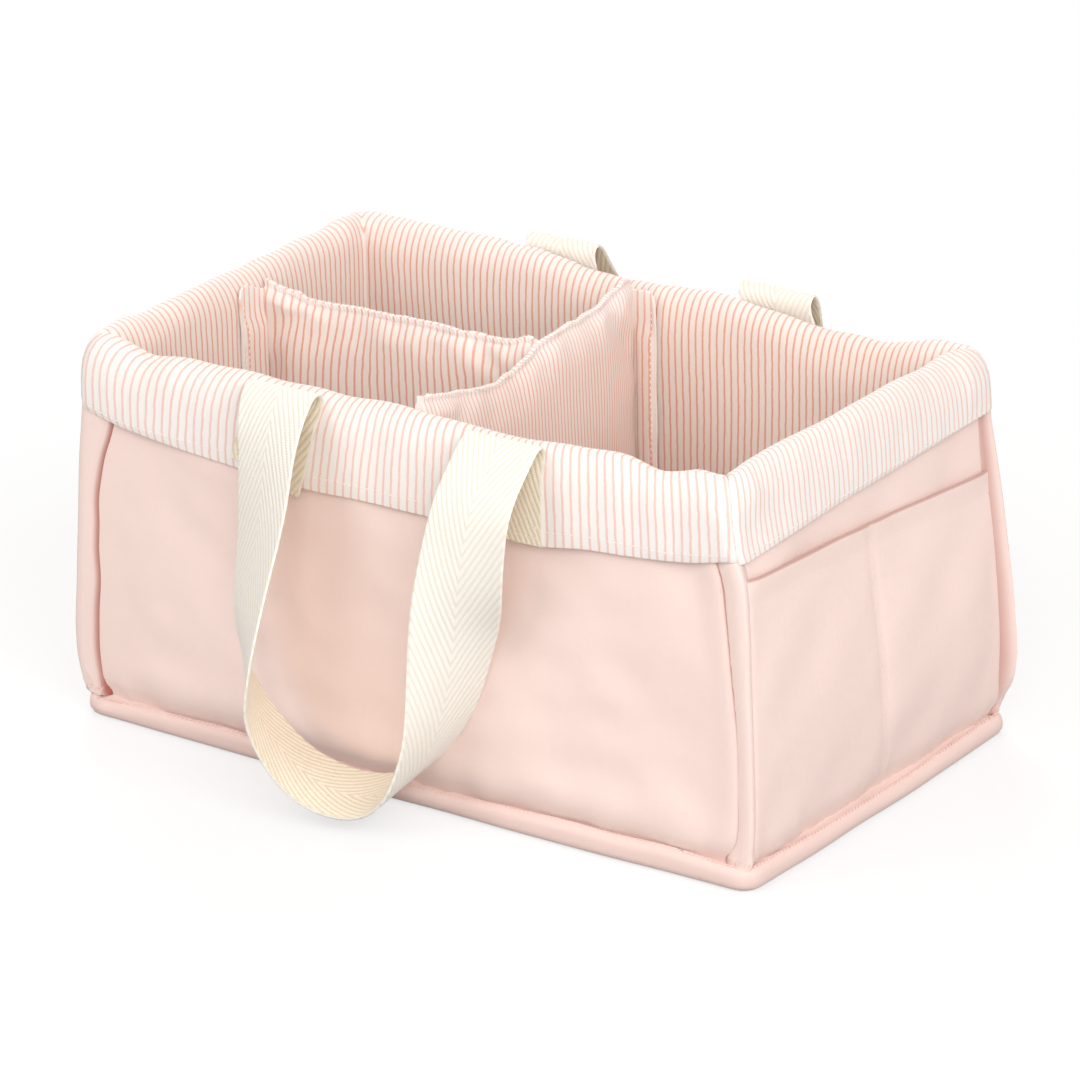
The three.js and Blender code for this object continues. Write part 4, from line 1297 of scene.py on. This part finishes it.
def makeDividerCover(name, spec, look):
    run, height, half = pillowGrid(spec, look)
    rows = run.shape[1]
    seed = spec["seed"]
    # rows of the ridge stand on the seam: the two sides run up together, a little wavy
    ridgeRows = 3
    ridgeRun = np.repeat(run[:, -1:], ridgeRows, axis=1)
    lift = np.linspace(0.3, 1, ridgeRows)[None, :] * look["ridge"]
    wave = ripple(ridgeRun, 0 * ridgeRun, 11, seed + 3) + 0.8 * ripple(ridgeRun, 0 * ridgeRun, 5, seed + 5)
    ridgeHeight = height[:, -1:] + lift * (1 + look["ridgeWave"] * wave / look["ridge"])
    allRun = np.concatenate([run, ridgeRun], axis=1)
    allHeight = np.concatenate([height, ridgeHeight], axis=1)
    allHalf = np.concatenate([half, np.full(ridgeRun.shape, look["ridgeHalf"])], axis=1)
    below = allHeight[:, rows - 1:rows] - allHeight
    folds = look["gather"] * bell(below - 6, 8) * (below > 0)
    fromEnd = spec["length"] / 2 - np.abs(allRun)
    sway = 1.2 * ripple(allRun, allHeight, 120, seed) * smoothStep(0, 25, fromEnd)
    leaning = 0.9 * ripple(allRun, 0 * allRun, 26, seed + 1) * smoothStep(170, 186, allHeight)
    centre = sway * 0.8 + leaning + smoothCurve(spec["aside"], allRun)
    sides = []
    for sign in (-1, 1):
        gathered = folds * ripple(allRun, below, 7, seed + sign, stretch=5)
        sides.append(np.stack([allRun, centre + sign * (allHalf + gathered), allHeight], axis=2))
    columnCount, rowCount = allRun.shape
    index = np.arange(columnCount * rowCount).reshape(columnCount, rowCount)
    count = index.size
    points = np.concatenate([side.reshape(-1, 3) for side in sides])
    border = borderOf(index)
    after = np.roll(border, -1)
    faces = np.concatenate([gridFaces(index), gridFaces(index)[:, ::-1] + count,
                            np.stack([border, border + count, after + count, after], axis=1)])
    bend = 0.9 * ripple(allRun, allHeight, 60, seed + 2) * smoothStep(60, 178, allHeight)
    u = allRun + bend + 1.4 * smoothStep(150, 186, allHeight) * ripple(allRun, 0 * allRun, 45, seed + 4)
    u = u * spec["stripes"]
    flat = np.stack([u.ravel(), allHeight.ravel()], axis=1)
    thing = addObject(f"{name}_cushion", points, faces.tolist(), stripedCotton,
                      np.concatenate([flat, flat]), 80)
    fixed = np.zeros((columnCount, rowCount), bool)
    fixed[[0, -1], :] = True
    fixed[:, [0]] = True
    fixed[:, rows - 1:] = True
    pinned = np.concatenate([index[fixed], index[fixed] + count])
    fillPillow(thing, pinned, look, look["fill"])
    subdivide(thing)
    x, y = spec["place"]
    thing.matrix_world = Matrix.Translation((x * mm, y * mm, 0)) @ Matrix.Rotation(spec["turn"], 4, "Z")
    bpy.context.view_layer.update()
    settle(thing, name, "striped_cotton", f"{name}_cover")
    # its board follows it
    reach = spec["length"] / 2 - look["boardInset"]
    heights = np.linspace(*look["boardHeights"], 12)
    at, up = np.meshgrid(np.linspace(-reach, reach, 30), heights, indexing="ij")
    line = smoothCurve(spec["aside"], at)
    near, far = (np.stack([at, line + sign * look["boardHalf"], up], axis=2) for sign in (-1, 1))
    board = clothSheet(f"{name}_board_plate", near, far, at, up, greyBoard, roll=0.1, sharp=40)
    board.matrix_world = thing.matrix_world.copy()
    bpy.context.view_layer.update()
    settle(board, name, "board", f"{name}_board")
    # whip stitches over the ridge
    cosine, sine = math.cos(spec["turn"]), math.sin(spec["turn"])
    turn = np.array([[cosine, -sine], [sine, cosine]])
    for label, sign in (("near", -1), ("far", 1)):
        aside = centre[:, -2] + sign * (look["ridgeHalf"] + 0.1)
        line = np.stack([allRun[:, -2], aside, allHeight[:, -2] + 0.3], axis=1)
        line[:, :2] = line[:, :2] @ turn.T + np.array([x, y])
        out = np.zeros_like(line)
        out[:, :2] = turn @ np.array([0, sign])
        out[:, 2] = 0.35
        stitchRow(f"{name}_{label}_ridge_stitches", line[1:-1], out[1:-1], whiteThread, name,
                  length=3.4, width=0.5, skew=sign * 0.95, pitch=2.3, lift=0.05)


for dividerName, dividerSpec in dividers.items():
    makeDividerCover(dividerName, dividerSpec, dividerLook)
print("dividers made")


# Divider tabs: striped flaps sewn to a divider's end and laid on the wall beside it

tabLook = {
    "low": 24,
    "thickness": 1.2,
    "standOff": 4.2,         # outer face of the tab, off the wall or divider it is fastened to
    "edgeOff": 1.8,          # at its free edge and at its top, clear of the tape
    "corner": 6,
    "stripeShift": 3,        # the first stripe's place on it
}
innerX, innerY = 171.1, 93.1
tabs = {
    # node: body, corner where the divider's end meets the wall, way along the wall, way off the wall, width,
    # height of its top at the divider and at its free edge
    "cross_divider_back_tab": ("cross_divider", (-7, innerY), (1, 0), (0, -1), 13.4, (193, 194)),
    "cross_divider_front_tab": ("cross_divider", (1, -innerY), (1, 0), (0, 1), 16.8, (182, 182)),
    "lengthwise_divider_wall_tab": ("lengthwise_divider", (-innerX, 12), (0, -1), (1, 0), 22, (187, 194)),
    "lengthwise_divider_inner_tab": ("lengthwise_divider", (-6.2, 12), (0, 1), (-1, 0), 20, (186, 186)),
}


def makeTab(node, look):
    body, (x, y), way, off, width, tops = tabs[node]
    seed = 801 + sorted(tabs).index(node)
    across = np.concatenate([np.linspace(0, 6, 7), np.linspace(6, width, 12)[1:]])
    share = np.linspace(0, 1, 44)
    high = tops[0] + (tops[1] - tops[0]) * smoothStep(0, width, across)[:, None]
    height = look["low"] + (high - look["low"]) * share[None, :]
    near = np.clip((across[:, None] - (width - look["corner"])) / look["corner"], 0, 1)
    drop = look["corner"] * (1 - np.sqrt(np.maximum(1 - near ** 2, 0)))
    atTop, atFoot = smoothStep(0.85, 1, share), 1 - smoothStep(0, 0.15, share)
    height = height - drop * atTop[None, :] + drop * atFoot[None, :]
    free = smoothStep(4, width, across)[:, None]
    wave = 0.5 * ripple(across[:, None] * 0.6, height, 50, seed) * free
    spread = across[:, None] + 0.5 * ripple(height, 0 * height, 42, seed + 7) * free
    overTape = (smoothStep(0, 5.5, across) * (1 - smoothStep(width - 3.2, width, across)))[:, None]
    overTape = overTape * (1 - smoothStep(169, 178, height)) * smoothStep(24, 31, height)
    stand = look["edgeOff"] + (look["standOff"] - look["edgeOff"]) * overTape
    depth = stand + wave * 0.6 + 0.5 * bell(across - width, 1.2)[:, None]
    faceX, faceY = (start + along * spread + out * depth for start, along, out in zip((x, y), way, off))
    face = np.stack([faceX, faceY, height], axis=2)
    normal = gridNormals(face)
    if normal[12, 20] @ np.array([*off, 0]) < 0:
        normal = -normal
    back = face - normal * look["thickness"]
    thing = clothSheet(f"{node}_cloth", face, back, spread + look["stripeShift"], height, stripedCotton)
    settle(thing, body, "striped_cotton", node)
    column = int(np.argmin(np.abs(across - (width - 2.2))))
    stitches = stitchRow(f"{node}_stitches", face[column, 2:-2], normal[column, 2:-2], whiteThread, body,
                         length=2.0, width=0.42, pitch=3.2, lift=-0.05)


for tabNode in tabs:
    makeTab(tabNode, tabLook)
print("tabs made")


# Handles: one strap of webbing each, sewn on the cuff, arched over and hanging in a turned loop

handleLook = {
    "width": 40,
    "thickness": 1.7,
    "halfSpacing": 63,
    "pivotZ": 190,
    "hangY": 126.6,
    "swing": 22,
    "drop": 178,
    "cup": 0.5,
    "flutter": 0.35,
    "bend": ((0.1166, 0.19), (0.1232, 0.18967)),     # where it gives as it swings: out and up, in metres
    "lift": {"front": 0, "back": 4.5},               # the arch over the rim stands this much higher
}
# the hanging loop: shares of the half spacing, the swing, the drop and a half turn, and the width's lean up
loopShares = [
    (-1, -0.25, 0, 0, 0), (-0.95, 0.25, 0.1, 0.07, -0.2), (-0.95, 0.45, 0.25, 0.12, -0.1),
    (-1, 0.75, 0.45, 0.18, 0), (-1, 1.05, 0.65, 0.25, 0.15), (-0.95, 1.05, 0.8, 0.33, 0.3),
    (-0.5, 0.85, 0.98, 0.35, 0.2), (0.15, 0.55, 0.99, 0.45, 0.1), (0.55, 0.4, 0.8, 0.6, 0.35),
    (0.73, 0.4, 0.55, 0.72, 0.5), (0.85, 0.6, 0.37, 0.9, 0.25), (0.93, 0.6, 0.21, 0.98, 0.05),
    (0.98, 0.5, 0.1, 1, -0.05), (1, -0.25, 0, 1, 0),
]
# over the rim: distance from the middle of the caddy, and height over the rim's crest
archKnots = [(113.9, -24), (113.8, -16), (112.6, -10), (110.7, -5), (110.5, -1), (112.6, 2.4), (116, 2.9),
             (119, 0.4), (120.8, -4)]


def splineThrough(knots, steps):
    # uniform Catmull-Rom through the knots, with plain end tangents
    knots = np.array(knots, float)
    padded = np.concatenate([2 * knots[:1] - knots[1:2], knots, 2 * knots[-1:] - knots[-2:-1]])
    result = []
    for i in range(len(knots) - 1):
        a, b, c, d = padded[i:i + 4]
        for t in np.linspace(0, 1, steps, endpoint=False):
            result.append(0.5 * (2 * b + (c - a) * t + (2 * a - 5 * b + 4 * c - d) * t ** 2
                                 + (3 * b - a - 3 * c + d) * t ** 3))
    result.append(knots[-1])
    return np.array(result)


def strapFrames(name, look, lean):
    # middle line and width direction from one sewn end to the other, both handles laid out at the front
    half, pivot = look["halfSpacing"], look["pivotZ"]

    def leg(end):
        run = np.array([end * half / caddy["halfLength"]])
        hem, crest = (float(smoothCurve(wallSides[name][k], run)[0]) for k in ("hem", "crest"))
        crest += look["lift"][name]
        arch = splineThrough([(y, crest + rise) for y, rise in archKnots], 6)
        rows = [(archKnots[0][0], z) for z in np.arange(hem + 1, arch[0][1] - 1, 2.0)] + arch.tolist()
        tilt = [lean[end] * max(0, 1 - (z - hem) / (crest - 6 - hem)) * (y < 114.5) for y, z in rows]
        line = [np.array([end * half + off, -y, z]) for off, (y, z) in zip(tilt, rows)]
        return [(place, np.array([end * 1.0, 0, 0])) for place in line]

    loop = splineThrough([(a * half, -look["hangY"] - s * look["swing"], pivot - d * look["drop"], t, lean)
                          for a, s, d, t, lean in loopShares], 20)
    middle = []
    for x, y, z, t, up in loop:
        angle = math.pi * (1 - t)
        middle.append((np.array([x, y, z]), np.array([math.cos(angle), math.sin(angle), up])))
    keep = [frameAt for frameAt in middle if frameAt[0][2] < pivot - 4]
    return leg(-1) + keep + leg(1)[::-1]


def smoothFrames(frames, spacing=1.8, passes=60):
    places, widths = (np.array([f[k] for f in frames]) for k in (0, 1))
    along = np.concatenate([[0], np.cumsum(np.linalg.norm(np.diff(places, axis=0), axis=1))])
    at = np.linspace(0, along[-1], round(along[-1] / spacing) + 1)
    places = np.stack([np.interp(at, along, places[:, k]) for k in range(3)], axis=1)
    widths = np.stack([np.interp(at, along, widths[:, k]) for k in range(3)], axis=1)
    ends = np.minimum(at, at[-1] - at)[1:-1, None]
    for step in range(4 * passes):
        share = 0.5 * smoothStep(46, 70, ends) if step > 1 else 0.5
        if step < passes:
            places[1:-1] += share * ((places[:-2] + places[2:]) / 2 - places[1:-1])
        widths[1:-1] += share * ((widths[:-2] + widths[2:]) / 2 - widths[1:-1])
    return places, widths / np.linalg.norm(widths, axis=1, keepdims=True), at


def makeHandle(name, look, turn, lean, seed):
    places, widths, at = smoothFrames(strapFrames(name, look, lean))
    tangent = np.gradient(places, axis=0)
    tangent /= np.linalg.norm(tangent, axis=1, keepdims=True)
    across = widths - tangent * (widths * tangent).sum(axis=1, keepdims=True)
    across /= np.linalg.norm(across, axis=1, keepdims=True)
    normal = np.cross(tangent, across)
    half = look["width"] / 2
    side = np.linspace(-half, half, 17)[None, :]
    free = smoothStep(50, 90, np.minimum(at, at[-1] - at))[:, None]
    flutter = ripple(at[:, None] + 0 * side, side, 60, seed)
    cup = look["cup"] * free * ((side / half) ** 2 - 0.4) + look["flutter"] * free * flutter
    grid = places[:, None] + across[:, None] * side[..., None] + normal[:, None] * cup[..., None]
    normals = gridNormals(grid)
    spin = Matrix.Rotation(turn, 4, "Z")
    thick = look["thickness"] / 2
    u, v = side + 0 * at[:, None], at[:, None] + 0 * side
    if normals[int(np.argmax(places[:, 2])), 8, 2] < 0:
        normals = -normals
    outer, inner = grid + normals * thick, grid - normals * thick
    # the inner side is laid out apart, so it takes the painted shade colours
    thing = clothSheet(f"{name}_handle_strap", outer, inner, u, v, creamWebbing, roll=0.45, sharp=70,
                       backShift=webbingLook["backFrom"] / mm)
    thing.data.transform(spin)
    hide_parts(f"{name}_handle_loop", f"{name}_handle_end_left", f"{name}_handle_end_right")
    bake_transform(thing)
    for end, label in ((0, "first"), (1, "second")):
        ordered = grid if end == 0 else grid[::-1]
        outs = normals if end == 0 else normals[::-1]
        edge, top = 2, 7
        corners = [(top, 1), (edge, 1), (edge, 15), (top, 15)]
        line, out = [], []
        for (a, b), (c, d) in zip(corners, corners[1:]):
            for t in np.linspace(0, 1, 9):
                i, j = a + (c - a) * t, b + (d - b) * t
                line.append(ordered[int(round(i)), int(round(j))])
                out.append(outs[int(round(i)), int(round(j))])
        line, out = np.array(line), np.array(out)
        out = np.where((out[:, 1:2] < 0), out, -out)
        stitches = stitchRow(f"{name}_handle_{label}_stitches", line + out * thick, out, creamThread, "root",
                             length=2.2, width=0.5, pitch=2.9, lift=0.0)
        stitches.data.transform(spin)


makeHandle("front", handleLook, 0, {-1: -13, 1: 0}, 901)
makeHandle("back", handleLook, math.pi, {-1: -3, 1: 2}, 902)
print("handles made")


# The tape behind the back tab: one strip on the tab, its other half on the wall

tapeLow, tapeHigh = (-4.6, 34), (4.4, 166)
tapePlaces = {
    # node: body, and how far back its two faces stand
    "cross_divider_back_hook_strip": ("cross_divider", 90.2, 91.3),
    "back_wall_loop_strip": ("root", 91.6, 92.7),
}


def makeTape(node, low, high):
    body, near, far = tapePlaces[node]
    x, z = np.meshgrid(np.linspace(low[0], high[0], 6), np.linspace(low[1], high[1], 40), indexing="ij")
    near, far = (np.stack([x, y + 0 * x, z], axis=2) for y in (near, far))
    thing = clothSheet(f"{node}_tape", near, far, x, z, fasteningTape, roll=0.1, sharp=40)
    settle(thing, body, "hook_and_loop", node)


for tapeNode in tapePlaces:
    makeTape(tapeNode, tapeLow, tapeHigh)
print("tape made")


# What stays as the CAD made it gets its material

for nodeName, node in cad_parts.items():
    if node.hide_render:
        continue
    finish = fasteningTape if nodeName.endswith("strip") else greyBoard
    node.data.materials.clear()
    node.data.materials.append(finish)
print("carried-over nodes finished")


# Floor and light

stageLook = {
    "floorHalf": 12,
    "floorShade": 0.93,
    "floorBounce": 0.45,     # what it sends back up to the caddy
    "glow": 0.62,            # how far the floor shows as plain white to the camera, near the caddy
    "plainFrom": 0.3,        # and from here to there it turns all white
    "plainTo": 0.6,
    "world": 0.55,
    "skyColour": (1.0, 0.93, 0.88, 1.0),
    "lampColour": (0.94, 0.98, 1.0),
    "lamps": [
        # name, place, size, power; the broad one on the viewer's side also lights the inside
        ("keyLamp", (-0.9, -1.9, 1.65), 1.4, 16),
        ("fillLamp", (2.2, -0.7, 1.6), 1.4, 27),
        ("softLamp", (1.61, -2.24, 1.6), 2.0, 42),
        ("backLamp", (-1.8, 2.0, 1.5), 1.6, 36),
    ],
}


def makeStage(look):
    mesh = bpy.data.meshes.new("studioFloor")
    size = look["floorHalf"]
    corners = [(x * size, y * size, 0) for x, y in ((-1, -1), (1, -1), (1, 1), (-1, 1))]
    mesh.from_pydata(corners, [], [(0, 1, 2, 3)])
    floor = bpy.data.objects.new("studioFloor", mesh)
    scene.collection.objects.link(floor)
    material = bpy.data.materials.new("studioFloor")
    material.use_nodes = True
    tree = material.node_tree
    shader = tree.nodes["Principled BSDF"]
    shader.inputs["Roughness"].default_value = 0.9
    shader.inputs["Specular IOR Level"].default_value = 0
    glow = tree.nodes.new("ShaderNodeEmission")
    glow.inputs["Color"].default_value = (1, 1, 1, 1)
    path = tree.nodes.new("ShaderNodeLightPath")
    shades = ([look[shade]] * 3 + [1] for shade in ("floorBounce", "floorShade"))
    tree.links.new(mixColours(tree, path.outputs["Is Camera Ray"], *shades), shader.inputs["Base Color"])
    far = tree.nodes.new("ShaderNodeVectorMath")
    far.operation = "LENGTH"
    tree.links.new(tree.nodes.new("ShaderNodeTexCoord").outputs["Object"], far.inputs[0])
    plain = addRange(tree, far.outputs["Value"], look["plainFrom"], look["plainTo"])
    glowing = addMath(tree, "MULTIPLY_ADD", plain, 1 - look["glow"], look["glow"])
    factor = addMath(tree, "MULTIPLY", path.outputs["Is Camera Ray"], glowing)
    mix = tree.nodes.new("ShaderNodeMixShader")
    tree.links.new(factor, mix.inputs[0])
    tree.links.new(shader.outputs[0], mix.inputs[1])
    tree.links.new(glow.outputs[0], mix.inputs[2])
    tree.links.new(mix.outputs[0], tree.nodes["Material Output"].inputs["Surface"])
    mesh.materials.append(material)


def addLamp(name, place, aim, size, power, colour=(1, 1, 1)):
    data = bpy.data.lights.new(name, "AREA")
    data.shape, data.size, data.energy, data.color = "SQUARE", size, power, colour
    lamp = bpy.data.objects.new(name, data)
    lamp.location = place
    lamp.rotation_euler = (Vector(aim) - Vector(place)).to_track_quat("-Z", "Y").to_euler()
    scene.collection.objects.link(lamp)


def makeWorld(look):
    world = bpy.data.worlds.new("studioWorld")
    world.use_nodes = True
    tree = world.node_tree
    background = tree.nodes["Background"]
    path = tree.nodes.new("ShaderNodeLightPath")
    seen = addMath(tree, "MAXIMUM", path.outputs["Is Camera Ray"], path.outputs["Is Glossy Ray"])
    tree.links.new(mixColours(tree, seen, list(look["skyColour"]), [1, 1, 1, 1]), background.inputs["Color"])
    strength = addMath(tree, "MULTIPLY_ADD", seen, 1 - look["world"], look["world"])
    tree.links.new(strength, background.inputs["Strength"])
    scene.world = world


makeStage(stageLook)
makeWorld(stageLook)
for lampName, lampPlace, lampSize, lampPower in stageLook["lamps"]:
    addLamp(lampName, lampPlace, (0, 0, 0.1), lampSize, lampPower, stageLook["lampColour"])
scene.view_settings.view_transform = "Standard"
print("stage and light made")
